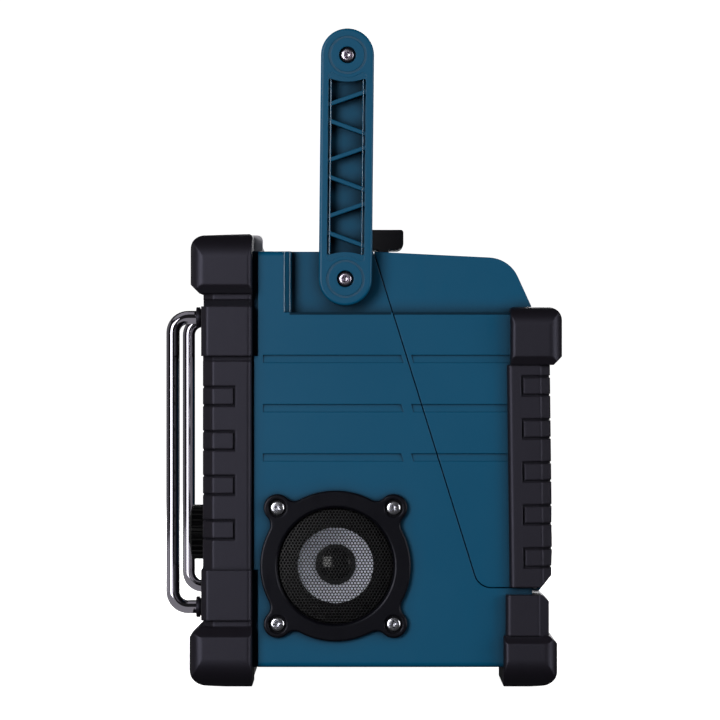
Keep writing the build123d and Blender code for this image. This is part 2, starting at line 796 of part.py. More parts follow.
def speaker_ring():
    """Ring with four screw ears blended into its rim."""
    ears = [Pos(y - SPEAKER_Y, z - SPEAKER_Z) * Circle(RING_EAR_R) for y, z in screw_spots()]
    rim = Circle(RING_R) + ears
    rim = fillet(rim.vertices(), RING_NECK_ROUND)
    ring = along_x(Pos(SPEAKER_Y, SPEAKER_Z) * rim, FLANK, FLANK + RING_THICK)
    outer_edges = ring.edges().filter_by(lambda edge: edge.center().X > FLANK + RING_THICK - RUN_GAP)
    ring = chamfer(outer_edges, RING_BEVEL / 2)
    opening = disc_x(RING_OPENING_R, SPEAKER_Y, SPEAKER_Z, 0, FAR)
    throat = Plane.YZ.offset(FLANK + RING_THICK) * Pos(SPEAKER_Y, SPEAKER_Z) * Circle(
        RING_OPENING_R + RING_BEVEL
    )
    bevel = extrude(throat, amount=-RING_BEVEL, taper=45)
    pockets = [
        disc_x(RING_POCKET_R, y, z, FLANK + RING_THICK - RING_POCKET, FAR) for y, z in screw_spots()
    ]
    bores = [disc_x(SPEAKER_SCREW_R + RUN_GAP, y, z, 0, FAR) for y, z in screw_spots()]
    return ring - opening - bevel - pockets - bores


def about_speaker(profile):
    """Revolve a profile drawn as (X, radius) about the loudspeaker's axis."""
    return Pos(0, SPEAKER_Y, SPEAKER_Z) * revolve(profile, Axis.X)


def speaker_grille():
    """Dished disc held between the ring and a rebate in the flank."""
    back = FLANK - GRILLE_THICK
    rim = RING_OPENING_R + GRILLE_LAP
    edges = [
        dome_arc(FLANK, RING_OPENING_R, GRILLE_DOME),
        Line((FLANK + GRILLE_DOME, 0), (back + GRILLE_DOME, 0)),
        dome_arc(back, RING_OPENING_R, GRILLE_DOME),
        Polyline((back, RING_OPENING_R), (back, rim), (FLANK, rim), (FLANK, RING_OPENING_R)),
    ]
    return about_speaker(make_face(edges))


def wall_opening():
    """Opening, rebate and screw holes for a loudspeaker in the right flank."""
    rim = RING_OPENING_R + GRILLE_LAP + SEAT_GAP
    opening = disc_x(RING_OPENING_R + WALL_OPENING_LAP, SPEAKER_Y, SPEAKER_Z, 0, FAR)
    rebate = disc_x(rim, SPEAKER_Y, SPEAKER_Z, FLANK - GRILLE_THICK, FAR)
    holes = [disc_x(SPEAKER_SCREW_R + RUN_GAP, y, z, 0, FAR) for y, z in screw_spots()]
    return opening + rebate + holes


def speaker_screw(y, z):
    """Domed screw with its head in the ring's pocket."""
    seat = FLANK + RING_THICK - RING_POCKET
    tip = INNER_FLANK - BASKET_RIM - BASKET_FLANGE
    head = disc_x(SPEAKER_HEAD_R, y, z, seat, seat + SPEAKER_HEAD)
    rim = head.edges().sort_by(Axis.X)[-1]
    head = fillet(rim, SPEAKER_HEAD / 2)
    return head + disc_x(SPEAKER_SCREW_R, y, z, tip, seat)


def speaker_screws():
    return both_sides(sum((speaker_screw(*spot) for spot in screw_spots()), Part()))


def speaker_basket():
    """Pressed basket: screwed flange, raised rim and a windowed cone of struts."""
    rim_back = INNER_FLANK - BASKET_RIM
    flange_back = rim_back - BASKET_FLANGE
    back = flange_back - BASKET_DEPTH
    spot = Pos(SPEAKER_Y, SPEAKER_Z)
    square = RectangleRounded(BASKET_SQUARE, BASKET_SQUARE, RING_EAR_R)
    seat_r = RING_OPENING_R + WALL_OPENING_LAP
    throat_r = ROLL_CENTRE_R + ROLL_R - CONE_THICK
    rim = along_x(spot * (square - Circle(seat_r)), rim_back, INNER_FLANK)
    flange = along_x(spot * (square - Circle(throat_r)), flange_back, rim_back)
    shell = about_speaker(
        make_face(
            Polyline(
                (flange_back, BASKET_FRONT_R),
                (back, BASKET_BACK_R),
                (back, 0),
                (back + BASKET_WALL, 0),
                (back + BASKET_WALL, BASKET_BACK_R - BASKET_WALL),
                (flange_back, BASKET_FRONT_R - 2 * BASKET_WALL),
                close=True,
            )
        )
    )
    window = block(
        (back + 2 * BASKET_WALL, flange_back - BASKET_WALL),
        (-BASKET_BACK_R / 2, BASKET_BACK_R / 2),
        (0, FAR),
    )
    windows = [
        Pos(0, SPEAKER_Y, SPEAKER_Z) * Rot(quarter * 90 + 45, 0, 0) * window for quarter in range(4)
    ]
    holes = [disc_x(SPEAKER_SCREW_R + RUN_GAP, y, z, 0, FAR) for y, z in screw_spots()]
    return rim + flange + shell - windows - holes


def speaker_magnet():
    back = INNER_FLANK - BASKET_RIM - BASKET_FLANGE - BASKET_DEPTH
    magnet = disc_x(MAGNET_R, SPEAKER_Y, SPEAKER_Z, back - MAGNET_THICK, back)
    return chamfer(magnet.edges(), MAGNET_EDGE)


def speaker_surround():
    """Half-roll surround with a flat outer flange."""
    seat = INNER_FLANK - BASKET_RIM
    roll = Pos(seat, ROLL_CENTRE_R) * (Circle(ROLL_R) - Circle(ROLL_R - CONE_THICK))
    roll &= Pos(seat + ROLL_R, ROLL_CENTRE_R) * Rectangle(2 * ROLL_R, 4 * ROLL_R)
    outer = RING_OPENING_R + WALL_OPENING_LAP - SEAT_GAP
    inner = ROLL_CENTRE_R + ROLL_R - CONE_THICK
    flange = Pos(seat + CONE_THICK / 2, (inner + outer) / 2) * Rectangle(CONE_THICK, outer - inner)
    return about_speaker(roll + flange)


def speaker_cone():
    """Paper cone from the surround down to its throat."""
    seat = INNER_FLANK - BASKET_RIM
    rim_r = ROLL_CENTRE_R - ROLL_R + CONE_THICK
    throat = seat - CONE_DEPTH
    profile = Polyline(
        (seat, rim_r),
        (seat - CONE_THICK, rim_r),
        (throat - CONE_THICK, CONE_THROAT_R),
        (throat, CONE_THROAT_R),
        close=True,
    )
    return about_speaker(make_face(profile))


def dust_cap():
    """Domed cap over the cone's throat."""
    base = INNER_FLANK - BASKET_RIM - CONE_DEPTH
    back = base - CONE_THICK
    edges = [
        dome_arc(base, CONE_THROAT_R, CAP_RISE),
        Polyline((base + CAP_RISE, 0), (back, 0), (back, CONE_THROAT_R), (base, CONE_THROAT_R)),
    ]
    return about_speaker(make_face(edges))


# Corner mouldings. Each is drawn for the right-hand corner and mirrored for the left.

def upright(end, lap, inner, outer, z_range, inset=0, bevel=CORNER_BEVEL):
    """Straight length of moulding: end is its outer face in Y, lap its edge on the flank."""
    inward = 1 if lap > end else -1
    end += inward * inset
    outer -= inset
    plan = outline(
        (inner, end, 0),
        (outer - bevel, end, LAP_ROUND),
        (outer, end + inward * bevel, LAP_ROUND),
        (outer, lap, FLANK_LAP_ROUND),
        (inner, lap, 0),
    )
    return along_z(plan, *z_range)


def three_views(side, front, plan):
    """The solid that has these side, front and plan outlines."""
    return along_x(side, 0, FAR) & along_y(front, -FAR, FAR) & along_z(plan, -FAR, FAR)


def head_solid(end, lap, low, top, roll, chamfer_size, slope):
    """Corner head, rolled over from its face to its top."""
    outward = 1 if end > lap else -1
    outer = FLANK + HEAD_PROUD
    side = outline(
        (end, low + chamfer_size, CHAMFER_ROUND),
        (end, top - slope, HEAD_NOSE),
        (lap, top, LAP_ROUND),
        (lap, low, 0),
        (end - outward * chamfer_size, low, 0),
    )
    face = outline(
        (BLOCK_INNER, low, 0),
        (outer - chamfer_size / 2, low, 0),
        (outer, low + chamfer_size, FOLD_ROUND),
        (outer, top, roll),
        (BLOCK_INNER, top, INNER_ROUND),
    )
    plan = outline(
        (BLOCK_INNER, end, INNER_ROUND),
        (outer, end, CORNER_ROUND),
        (outer, lap, FLANK_LAP_ROUND),
        (BLOCK_INNER, lap, 0),
    )
    return three_views(side, face, plan)


def foot_solid(end, lap, inner, top, chamfer_size, nose):
    """Foot with a rolled sole that lifts a little towards its outer end."""
    outward = 1 if end > lap else -1
    outer = FLANK + HEAD_PROUD
    side = outline(
        (end, top - chamfer_size, CHAMFER_ROUND),
        (end, FOOT_TOE_RISE, nose),
        (lap + outward * SOLE_FLAT, 0, 0),
        (lap, 0, SOLE_ROUND),
        (lap, top, 0),
        (end - outward * chamfer_size, top, 0),
    )
    face = outline(
        (inner, 0, INNER_ROUND),
        (outer, 0, FOOT_ROLL),
        (outer, top - chamfer_size, FOLD_ROUND),
        (outer - chamfer_size * FOOT_BEVEL_RUN, top, 0),
        (inner, top, 0),
    )
    plan = outline(
        (inner, end, INNER_ROUND),
        (outer, end, CORNER_ROUND),
        (outer, lap, FLANK_LAP_ROUND),
        (inner, lap, 0),
    )
    return three_views(side, face, plan)


def pad_ring(middle, edge_y, outward):
    """Frame round one pad that wraps the corner towards +Y (1) or -Y (-1)."""

    def zone(grow):
        half = PAD_HEIGHT / 2 + grow
        y_range = sorted((edge_y - outward * grow, outward * FAR))
        return block((PAD_INNER - grow, FAR), y_range, (middle - half, middle + half))

    return zone(GROOVE) - zone(0)


def padded_column(end, lap, z_range, middles, reach):
    """Column with a groove of even depth round each of its pads."""
    outer = FLANK + COLUMN_PROUD
    outward = 1 if end > lap else -1
    column = upright(end, lap, COLUMN_INNER, outer, z_range)
    skin = column - upright(end, lap, COLUMN_INNER, outer, z_range, GROOVE_DEPTH)
    rings = [pad_ring(middle, end - outward * reach, outward) for middle in middles]
    return column - [skin & ring for ring in rings]


def spaced(middle, pitch, count):
    """Evenly spaced heights about a middle."""
    return [middle + pitch * (row - (count - 1) / 2) for row in range(count)]


def front_bumper():
    """Front corner moulding: head, neck, block, padded column, lower block and foot."""
    head_low = TOP - HEAD_DROP
    block_top = TOP - BLOCK_TOP_DROP
    block_low = TOP - BLOCK_BOTTOM_DROP
    column_top = block_low - UNDERCUT
    lap = BODY_FRONT + CORNER_LAP
    column_lap = BODY_FRONT + COLUMN_LAP
    neck_end = BODY_FRONT - NECK_AHEAD
    block_end = BODY_FRONT - BLOCK_AHEAD
    column_end = BODY_FRONT - COLUMN_AHEAD
    neck_out = FLANK + NECK_PROUD
    block_out = FLANK + BLOCK_PROUD
    pads = spaced((LOW_BLOCK_TOP + block_low) / 2, PAD_PITCH, PAD_COUNT)
    moulding = [
        head_solid(
            BODY_FRONT - HEAD_AHEAD, lap, head_low, TOP + HEAD_RISE, HEAD_ROLL,
            HEAD_CHAMFER, HEAD_SLOPE,
        ),
        upright(neck_end, lap, BLOCK_INNER, neck_out, (block_top + NECK_GROOVE, head_low)),
        upright(
            neck_end, lap, BLOCK_INNER, neck_out - UNDERCUT_STEP,
            (block_top, block_top + NECK_GROOVE),
        ),
        upright(
            block_end, lap, BLOCK_INNER, block_out, (block_low, block_top), bevel=BLOCK_BEVEL
        ),
        upright(
            column_end, column_lap, COLUMN_INNER, FLANK + COLUMN_PROUD - UNDERCUT_STEP,
            (column_top, block_low),
        ),
        padded_column(column_end, column_lap, (LOW_BLOCK_TOP, column_top), pads, PAD_REACH),
        upright(
            block_end, lap, BLOCK_INNER, block_out, (LOW_BLOCK_BOTTOM, LOW_BLOCK_TOP),
            bevel=BLOCK_BEVEL,
        ),
        upright(neck_end, lap, BLOCK_INNER, neck_out, (FOOT_TOP, LOW_BLOCK_BOTTOM)),
        foot_solid(
            BODY_FRONT - FOOT_AHEAD, lap, BLOCK_INNER, FOOT_TOP, FOOT_CHAMFER, FOOT_NOSE,
        ),
    ]
    socket_end = BODY_FRONT - BLOCK_AHEAD + GUARD_SOCKET
    sockets = [
        disc_y(GUARD_TUBE_R + RUN_GAP, GUARD_X, z, -FAR, socket_end) for z in guard_heights()
    ]
    return sum(moulding, Part()) - body_block() - sockets


def rear_foot():
    """Block and foot on the cabinet below the cover."""
    end = BODY_REAR + REAR_BLOCK_BEHIND
    lap = BODY_REAR - REAR_BLOCK_LAP
    post = upright(
        end, lap, BLOCK_INNER, FLANK + BLOCK_PROUD, (REAR_FOOT_TOP, REAR_BLOCK_TOP)
    )
    side = outline(
        (lap, REAR_FOOT_TOP, 0),
        (end, REAR_FOOT_TOP, 0),
        (end, REAR_BLOCK_TOP - REAR_BLOCK_CHAMFER, 0),
        (end - REAR_BLOCK_CHAMFER, REAR_BLOCK_TOP, 0),
        (lap, REAR_BLOCK_TOP, 0),
    )
    foot = foot_solid(
        BODY_REAR + REAR_FOOT_BEHIND, BODY_REAR - REAR_FOOT_LAP, REAR_FOOT_INNER, REAR_FOOT_TOP,
        REAR_FOOT_CHAMFER, REAR_FOOT_NOSE,
    )
    return (post & along_x(side, 0, FAR)) + foot - body_block()


def cover_bumper():
    """Rear corner moulding on the battery cover: head and padded, leaning column."""
    head_top = TOP - COVER_HEAD_TOP_DROP
    head_low = head_top - COVER_HEAD_HEIGHT
    head = head_solid(
        BODY_REAR + COVER_HEAD_BEHIND, BODY_REAR - COVER_HEAD_LAP, head_low, head_top,
        COVER_HEAD_ROLL, COVER_HEAD_CHAMFER, 0,
    )
    end = BODY_REAR + COVER_COLUMN_BEHIND
    lap = BODY_REAR - COVER_COLUMN_LAP
    middle = (COVER_EDGE_Z + head_low) / 2
    pads = spaced(middle + COVER_PAD_RISE, COVER_PAD_PITCH, COVER_PAD_COUNT)
    column = padded_column(
        end, lap, (COVER_EDGE_Z - WALL, head_low + WALL), pads, COVER_PAD_REACH
    )
    lean = Pos(0, BODY_REAR, middle) * Rot(COVER_COLUMN_LEAN, 0, 0) * Pos(0, -BODY_REAR, -middle)
    side = outline(
        (lap - WALL, COVER_EDGE_Z, 0),
        (end - COVER_FOOT_CHAMFER, COVER_EDGE_Z, 0),
        (end, COVER_EDGE_Z + COVER_FOOT_BEVEL, 0),
        (end + WALL, head_low, 0),
        (lap - WALL, head_low, 0),
    )
    column = (lean * column) & along_x(side, 0, FAR)
    return head + column - body_block()


# Guard tubes

def guard_heights():
    """Heights of a guard tube's two level runs."""
    return (GUARD_BOTTOM, TOP - GUARD_TOP_DROP)


def guard_tube():
    """Bent tube from the lower block to the upper one."""
    low, high = guard_heights()
    inner = BODY_FRONT - BLOCK_AHEAD + GUARD_SOCKET - SEAT_GAP
    front = BODY_FRONT - GUARD_AHEAD + GUARD_TUBE_R
    corners = ((inner, high), (front, high), (front, low), (inner, low))
    route = Plane.YZ.offset(GUARD_X) * FilletPolyline(*corners, radius=GUARD_BEND)
    section = Plane(route @ 0, z_dir=route % 0) * Circle(GUARD_TUBE_R)
    return sweep(section, path=route)


def guard_collar(z):
    """Flanged collar where a tube enters its block."""
    face = BODY_FRONT - BLOCK_AHEAD
    neck = disc_y(COLLAR_NECK_R, GUARD_X, z, face - COLLAR_NECK, face)
    flange = disc_y(COLLAR_R, GUARD_X, z, face - COLLAR_NECK - COLLAR_FLANGE, face - COLLAR_NECK)
    bore = disc_y(GUARD_TUBE_R + RUN_GAP, GUARD_X, z, -FAR, 0)
    return neck + chamfer(flange.edges(), COLLAR_EDGE) - bore


def guard_collars():
    return both_sides(sum((guard_collar(z) for z in guard_heights()), Part()))


# Handle. The arms are drawn about the pivot, standing upright.

def raised(piece):
    """Place a handle piece at its pivot, leaning as it does when raised."""
    return Pos(0, PIVOT_Y, PIVOT_Z) * Rot(-ARM_LEAN, 0, 0) * piece


def arm_screw_points():
    return ((0, 0), (0, ARM_REACH))


def window_outline():
    """Window between the two bosses, its ends hollowed to their curve."""
    window = Pos(0, ARM_REACH / 2) * Rectangle(WINDOW_WIDTH, ARM_REACH)
    window -= [Pos(*point) * Circle(WINDOW_BOSS_R) for point in arm_screw_points()]
    return fillet(window.vertices(), WINDOW_ROUND)


def arm_ribs():
    """Pairs of thin ribs that splay across the window."""
    ribs = Sketch()
    for middle in spaced(ARM_REACH / 2 + RIB_PAIR_SHIFT, RIB_PAIR_PITCH, RIB_PAIRS):
        for side in (1, -1):
            place = Pos(0, middle + side * RIB_OFFSET) * Rot(0, 0, side * RIB_SLOPE)
            ribs += place * Rectangle(2 * WINDOW_WIDTH, RIB_WIDTH)
    return ribs


def handle_arm():
    """Moulded arm: ribbed window between two screw bosses."""
    body = Pos(0, ARM_REACH / 2) * Rot(0, 0, 90) * SlotCenterToCenter(ARM_REACH, 2 * ARM_R)
    arm = along_x(body, ARM_INNER, ARM_OUTER)
    rim = arm.edges().filter_by(lambda edge: edge.center().X > ARM_OUTER - RUN_GAP)
    arm = fillet(rim, ARM_EDGE)
    window = window_outline()
    arm -= along_x(window, ARM_INNER + WINDOW_FLOOR, FAR)
    arm += along_x(window & arm_ribs(), ARM_INNER + WINDOW_FLOOR, ARM_OUTER - RIB_DROP)
    groove_start = ARM_OUTER - RING_GROOVE_DEPTH
    for point, shank_r in zip(arm_screw_points(), (PIVOT_SHANK_R, GRIP_SHANK_R)):
        ring = Circle(RING_GROOVE_R + RING_GROOVE / 2) - Circle(RING_GROOVE_R - RING_GROOVE / 2)
        arm -= along_x(Pos(*point) * ring, groove_start, FAR)
        arm -= disc_x(ARM_SCREW_POCKET_R, *point, ARM_OUTER - ARM_SCREW_POCKET, FAR)
        arm -= disc_x(shank_r + RUN_GAP, *point, 0, FAR)
    return raised(arm)


def arm_screw(point, shank_r, inner_face):
    """Domed screw through an arm, threaded beyond its inner face."""
    seat = ARM_OUTER - ARM_SCREW_POCKET
    head = disc_x(ARM_SCREW_HEAD_R, *point, seat, seat + ARM_SCREW_HEAD)
    head = fillet(head.edges().sort_by(Axis.X)[-1], ARM_SCREW_HEAD / 3)
    return raised(head + disc_x(shank_r, *point, inner_face - SHANK_GRIP, seat))


def grip_core():
    """Tube between the arms with solid, tapped ends."""
    core = disc_x(GRIP_CORE_R, 0, ARM_REACH, -ARM_INNER, ARM_INNER)
    middle = ARM_INNER - GRIP_PLUG
    core -= disc_x(GRIP_CORE_BORE_R, 0, ARM_REACH, -middle, middle)
    core -= disc_x(GRIP_SHANK_R + RUN_GAP, 0, ARM_REACH, -FAR, FAR)
    return raised(core)


def grip_sleeve():
    """Rubber sleeve with shallow rings for the fingers."""
    half = ARM_INNER - GRIP_END_GAP
    sleeve = disc_x(GRIP_R, 0, ARM_REACH, -half, half)
    sleeve = fillet(sleeve.edges(), GRIP_END_ROUND)
    pitch = 2 * half / (GRIP_RIB_COUNT + 4)
    groove = pitch * GRIP_GROOVE_SHARE / 2
    cut = Circle(2 * GRIP_R) - Circle(GRIP_R - GRIP_RIB_DEPTH)
    for middle in spaced(0, pitch, GRIP_RIB_COUNT):
        sleeve -= along_x(Pos(0, ARM_REACH) * cut, middle - groove, middle + groove)
    return raised(sleeve - disc_x(GRIP_CORE_R + RUN_GAP, 0, ARM_REACH, -FAR, FAR))


# Front bezel, console and what sits in it

def console_middle():
    return (CONSOLE_BOTTOM + CONSOLE_TOP) / 2


def console_rect(grow):
    """Console outline seen from the front, grown all round."""
    return Pos(0, console_middle()) * RectangleRounded(
        2 * (CONSOLE_HALF + grow),
        CONSOLE_TOP - CONSOLE_BOTTOM + 2 * grow,
        CONSOLE_ROUND + grow,
    )


def front_bezel():
    """Bezel with a hood over the cabinet's top edge and a chin under it.

    The hood's right end runs back across the trough and guards the antenna's root.
    """
    half = BLOCK_INNER - SEAT_GAP
    chin_top = BODY_LIFT - SEAT_GAP
    hood_top = TOP + HOOD_RISE
    hood_rear = BODY_FRONT + HOOD_LAP
    guard_rear = TROUGH_Y + TROUGH_WIDTH / 2
    side = outline(
        (BEZEL_FRONT, CHIN_Z, CHIN_ROUND),
        (CHIN_REAR_Y, CHIN_Z, CHIN_EDGE),
        (CHIN_REAR_Y, chin_top, 0),
        (BODY_FRONT, chin_top, 0),
        (BODY_FRONT, TOP, 0),
        (hood_rear, TOP, 0),
        (hood_rear, hood_top, 0),
        (BEZEL_FRONT, hood_top, HOOD_FRONT_ROUND),
    )
    root_guard = outline(
        (BODY_FRONT, TOP, 0),
        (guard_rear, TOP, 0),
        (guard_rear, hood_top, HOOD_ROUND),
        (BODY_FRONT, hood_top, 0),
    )
    guard_start = WHIP_PIVOT_X + WHIP_ROOT_R + ROOT_GUARD_GAP
    bezel = along_x(side, -half, half) + along_x(root_guard, guard_start, half)
    plate_back = BEZEL_FRONT + BEZEL_WALL
    pocket = block(
        (BEZEL_WALL - half, half - BEZEL_WALL),
        (plate_back, BODY_FRONT),
        (chin_top + BEZEL_WALL, TOP - BEZEL_WALL),
    )
    return bezel - pocket - along_y(console_rect(0), -FAR, BODY_FRONT)


def button_layout():
    """Every button as (name, across, up, width)."""
    first = -MAIN_ROW_PITCH * (len(MAIN_ROW) - 1) / 2
    main = [
        (f"{name}_button", first + MAIN_ROW_PITCH * step, MAIN_ROW_Z, MAIN_ROW_WIDTH)
        for step, name in enumerate(MAIN_ROW)
    ]
    presets = [
        (f"preset_button_{step + 1}", x, PRESET_ROW_Z, PRESET_WIDTH)
        for step, x in enumerate(spaced(0, PRESET_PITCH, PRESET_COUNT))
    ]
    return main + presets + [("tone_button", TONE_BUTTON_X, TONE_BUTTON_Z, MAIN_ROW_WIDTH)]


def button_face(width, grow):
    """Button outline, grown all round."""
    return RectangleRounded(width + 2 * grow, BUTTON_HEIGHT + 2 * grow, BUTTON_ROUND + grow)


def switch_top():
    """Front face of the push switches on the control board."""
    return BOARD_FRONT - SWITCH_HEIGHT


def button(x, z, width):
    """Button cap with a retaining flange and a stem that reaches its switch."""
    flange_front = CONSOLE_BACK + TRIM_GAP
    flange_back = flange_front + BUTTON_FLANGE
    stem_end = switch_top() - BUTTON_TRAVEL - TRIM_GAP
    cap = along_y(button_face(width, 0), CONSOLE_FRONT - BUTTON_PROUD, flange_front)
    cap = fillet(cap.edges().group_by(Axis.Y)[0], BUTTON_EDGE)
    flange = along_y(button_face(width, BUTTON_LAP), flange_front, flange_back)
    stem = disc_y(BUTTON_STEM_R, 0, 0, flange_back, stem_end)
    return Pos(x, 0, z) * (cap + flange + stem)


def lcd_rect(grow):
    """Display window seen from the front, grown all round."""
    width = LCD_WIDTH + 2 * grow
    height = LCD_HEIGHT + 2 * grow
    return Pos(0, LCD_Z) * RectangleRounded(width, height, LCD_ROUND + grow)


def console_panel():
    """Console shell with openings for the display, buttons, knob and socket."""
    flange_front = BEZEL_FRONT + BEZEL_WALL
    flange_back = flange_front + CONSOLE_FLANGE
    shell = along_y(console_rect(-SEAT_GAP), CONSOLE_FRONT, flange_back)
    shell = fillet(shell.edges().group_by(Axis.Y)[0], CONSOLE_EDGE)
    shell += along_y(console_rect(CONSOLE_LAP), flange_front, flange_back)
    shell -= along_y(console_rect(-SEAT_GAP - CONSOLE_SKIN), CONSOLE_BACK, flange_back)
    window_back = CONSOLE_FRONT + LCD_SINK + LCD_WINDOW
    shell -= along_y(lcd_rect(SEAT_GAP / 2), -FAR, window_back)
    shell -= along_y(lcd_rect(-LCD_BORDER), -FAR, 0)
    for _, x, z, width in button_layout():
        shell -= along_y(Pos(x, z) * button_face(width, TRIM_GAP), -FAR, 0)
    shell -= disc_y(BUSHING_R + TRIM_GAP, 0, KNOB_Z, -FAR, 0)
    return shell - disc_y(AUX_R + RUN_GAP, AUX_X, AUX_Z, -FAR, 0)


def lcd_window():
    front = CONSOLE_FRONT + LCD_SINK
    return along_y(lcd_rect(0), front, front + LCD_WINDOW)


def lcd_module():
    """Display with its backlight tray, between the console skin and the board."""
    return along_y(lcd_rect(-LCD_MODULE_INSET), CONSOLE_BACK, BOARD_FRONT)


def main_board_rear():
    """Rear face of the main board, on the tray's posts."""
    return TUB_BACK_Y - TRAY_THICK - BOARD_POST


def circuit_boards():
    """Control board behind the console and main board behind the battery tub."""
    inset = 2 * CONSOLE_SKIN
    low, high = CONSOLE_BOTTOM + inset, CONSOLE_TOP - inset
    half = CONSOLE_HALF - inset
    control = block((-half, half), (BOARD_FRONT, BODY_FRONT), (low, high))
    back = main_board_rear()
    half = MAIN_BOARD_WIDTH / 2
    rise = MAIN_BOARD_HEIGHT / 2
    main = block(
        (-half, half), (back - BOARD_THICK, back), (MAIN_BOARD_Z - rise, MAIN_BOARD_Z + rise)
    )
    return control + main


def board_components():
    """Push switches and rotary encoder on the control board, chips on the main one."""
    side = 2 * SWITCH_HALF
    switches = [
        along_y(Pos(x, z) * Rectangle(side, side), switch_top(), BOARD_FRONT)
        for _, x, z, _ in button_layout()
    ]
    half = ENCODER_SIZE / 2
    case_front = CONSOLE_BACK + RUN_GAP
    encoder = block((-half, half), (case_front, BOARD_FRONT), (KNOB_Z - half, KNOB_Z + half))
    encoder += disc_y(BUSHING_R, 0, KNOB_Z, CONSOLE_FRONT - SEAT_GAP, case_front)
    encoder -= disc_y(KNOB_SHAFT_R + RUN_GAP, 0, KNOB_Z, -FAR, BOARD_FRONT - RUN_GAP)
    face = main_board_rear() - BOARD_THICK
    chips = [
        block(across, (face - height, face), (MAIN_BOARD_Z + low, MAIN_BOARD_Z + high))
        for across, height, (low, high) in (AMPLIFIER, TUNER)
    ]
    capacitors = [
        disc_y(CAPACITOR_R, x, MAIN_BOARD_Z - CAPACITOR_DROP, face - CAPACITOR_HEIGHT, face)
        for x in CAPACITOR_SPOTS
    ]
    return sum(switches + [encoder] + chips + capacitors, Part())


def encoder_shaft():
    end = -knob_base() - KNOB_SHAFT_GRIP
    return disc_y(KNOB_SHAFT_R, 0, KNOB_Z, end, BOARD_FRONT - RUN_GAP - TRIM_GAP)


def about_knob(profile):
    """Revolve a profile drawn as (distance ahead, radius) about the knob's axis."""
    return Pos(0, 0, KNOB_Z) * Rot(0, 0, -90) * revolve(profile, Axis.X)


def knob_base():
    return KNOB_GAP - CONSOLE_FRONT


def tuning_knob():
    """Fluted knob with a domed front, on a seat for the trim ring."""
    base = knob_base()
    seat_r = KNOB_R - KNOB_TRIM_SUNK
    trim_front = base + KNOB_TRIM
    shoulder = base + KNOB_LENGTH - KNOB_DOME
    edges = [
        Polyline(
            (shoulder + KNOB_DOME, 0), (base, 0), (base, seat_r), (trim_front, seat_r),
            (trim_front, KNOB_R), (shoulder, KNOB_R),
        ),
        dome_arc(shoulder, KNOB_R, KNOB_DOME),
    ]
    knob = about_knob(make_face(edges))
    flute = along_y(Circle(KNOB_FLUTE_R), -shoulder - KNOB_DOME, -trim_front)
    knob -= [
        Pos(0, 0, KNOB_Z) * Rot(0, 360 / KNOB_FLUTES * turn, 0) * Pos(KNOB_R, 0, 0) * flute
        for turn in range(KNOB_FLUTES)
    ]
    return knob - disc_y(KNOB_SHAFT_R + RUN_GAP, 0, KNOB_Z, -base - KNOB_SHAFT_GRIP, -base)


def knob_trim():
    """Bright ring on the knob's foot."""
    base = knob_base()
    ring = outline(
        (base, KNOB_R - KNOB_TRIM_SUNK, 0),
        (base, KNOB_R + KNOB_TRIM_PROUD, 0),
        (base + KNOB_TRIM, KNOB_R + KNOB_TRIM_PROUD, KNOB_TRIM / 3),
        (base + KNOB_TRIM, KNOB_R - KNOB_TRIM_SUNK, 0),
    )
    return about_knob(ring)


def aux_socket():
    """Line-in socket on the console."""
    face = CONSOLE_FRONT - SEAT_GAP
    body = disc_y(AUX_R, AUX_X, AUX_Z, face, BOARD_FRONT)
    return body - disc_y(AUX_BORE_R, AUX_X, AUX_Z, -FAR, face + AUX_BORE_DEPTH)


# Power socket and its flap, in the left flank

def flap_pocket(grow):
    """Pocket for the flap in the left flank, grown all round."""
    half_w = FLAP_WIDTH / 2 + grow
    half_h = FLAP_HEIGHT / 2 + grow
    return block(
        (-FAR, FLAP_THICK + grow - FLANK), (DC_Y - half_w, DC_Y + half_w),
        (DC_Z - half_h, DC_Z + half_h),
    )


def dc_socket():
    """Power socket: sleeve with a centre pin."""
    face = FLAP_THICK + SEAT_GAP - FLANK
    floor = face + DC_LENGTH - WALL
    sleeve = disc_x(DC_R, DC_Y, DC_Z, face, face + DC_LENGTH)
    sleeve -= disc_x(DC_BORE_R, DC_Y, DC_Z, face, floor)
    return sleeve + disc_x(DC_PIN_R, DC_Y, DC_Z, face + DC_PIN_SET_BACK, floor)


def dc_flap():
    """Rubber flap that turns about its rounded upper edge."""
    radius = FLAP_THICK / 2
    middle = radius - FLANK
    low = DC_Z - FLAP_HEIGHT / 2
    axis_z = DC_Z + FLAP_HEIGHT / 2 - radius
    section = Pos(middle, axis_z) * Circle(radius)
    section += Pos(middle, (low + axis_z) / 2) * Rectangle(FLAP_THICK, axis_z - low)
    half = FLAP_WIDTH / 2
    return along_y(section, DC_Y - half, DC_Y + half)


# Battery tray

def slope_plane():
    """Plane of the tray's rear face: X across, Y down the slope, Z out to the rear."""
    lean = radians(SEAM_LEAN)
    y = SEAM_TOP_Y - TRAY_SET_BACK / cos(lean)
    return Plane(origin=(0, y, TOP), x_dir=(1, 0, 0), z_dir=(0, cos(lean), sin(lean)))


def tray_screw_spots():
    """The tray's screws as (across, down the slope)."""
    reach = INNER_FLANK - TRAY_SCREW_INSET
    lowest = (TOP - SEAM_SHELF_Z) / cos(radians(SEAM_LEAN)) - TRAY_SCREW_FOOT
    drops = (TRAY_SCREW_DROP, lowest - TRAY_SCREW_PITCH, lowest)
    return [(side * reach, drop) for side in (-1, 1) for drop in drops]


def slope_disc(radius, spot, start, end):
    """Round bar square to the tray's rear face."""
    return extrude(slope_plane().offset(start) * Pos(*spot) * Circle(radius), amount=end - start)


def seam_layer(start, end):
    """Layer that follows the seam between two depths on the cabinet's side."""
    return behind_seam(end) - behind_seam(start)


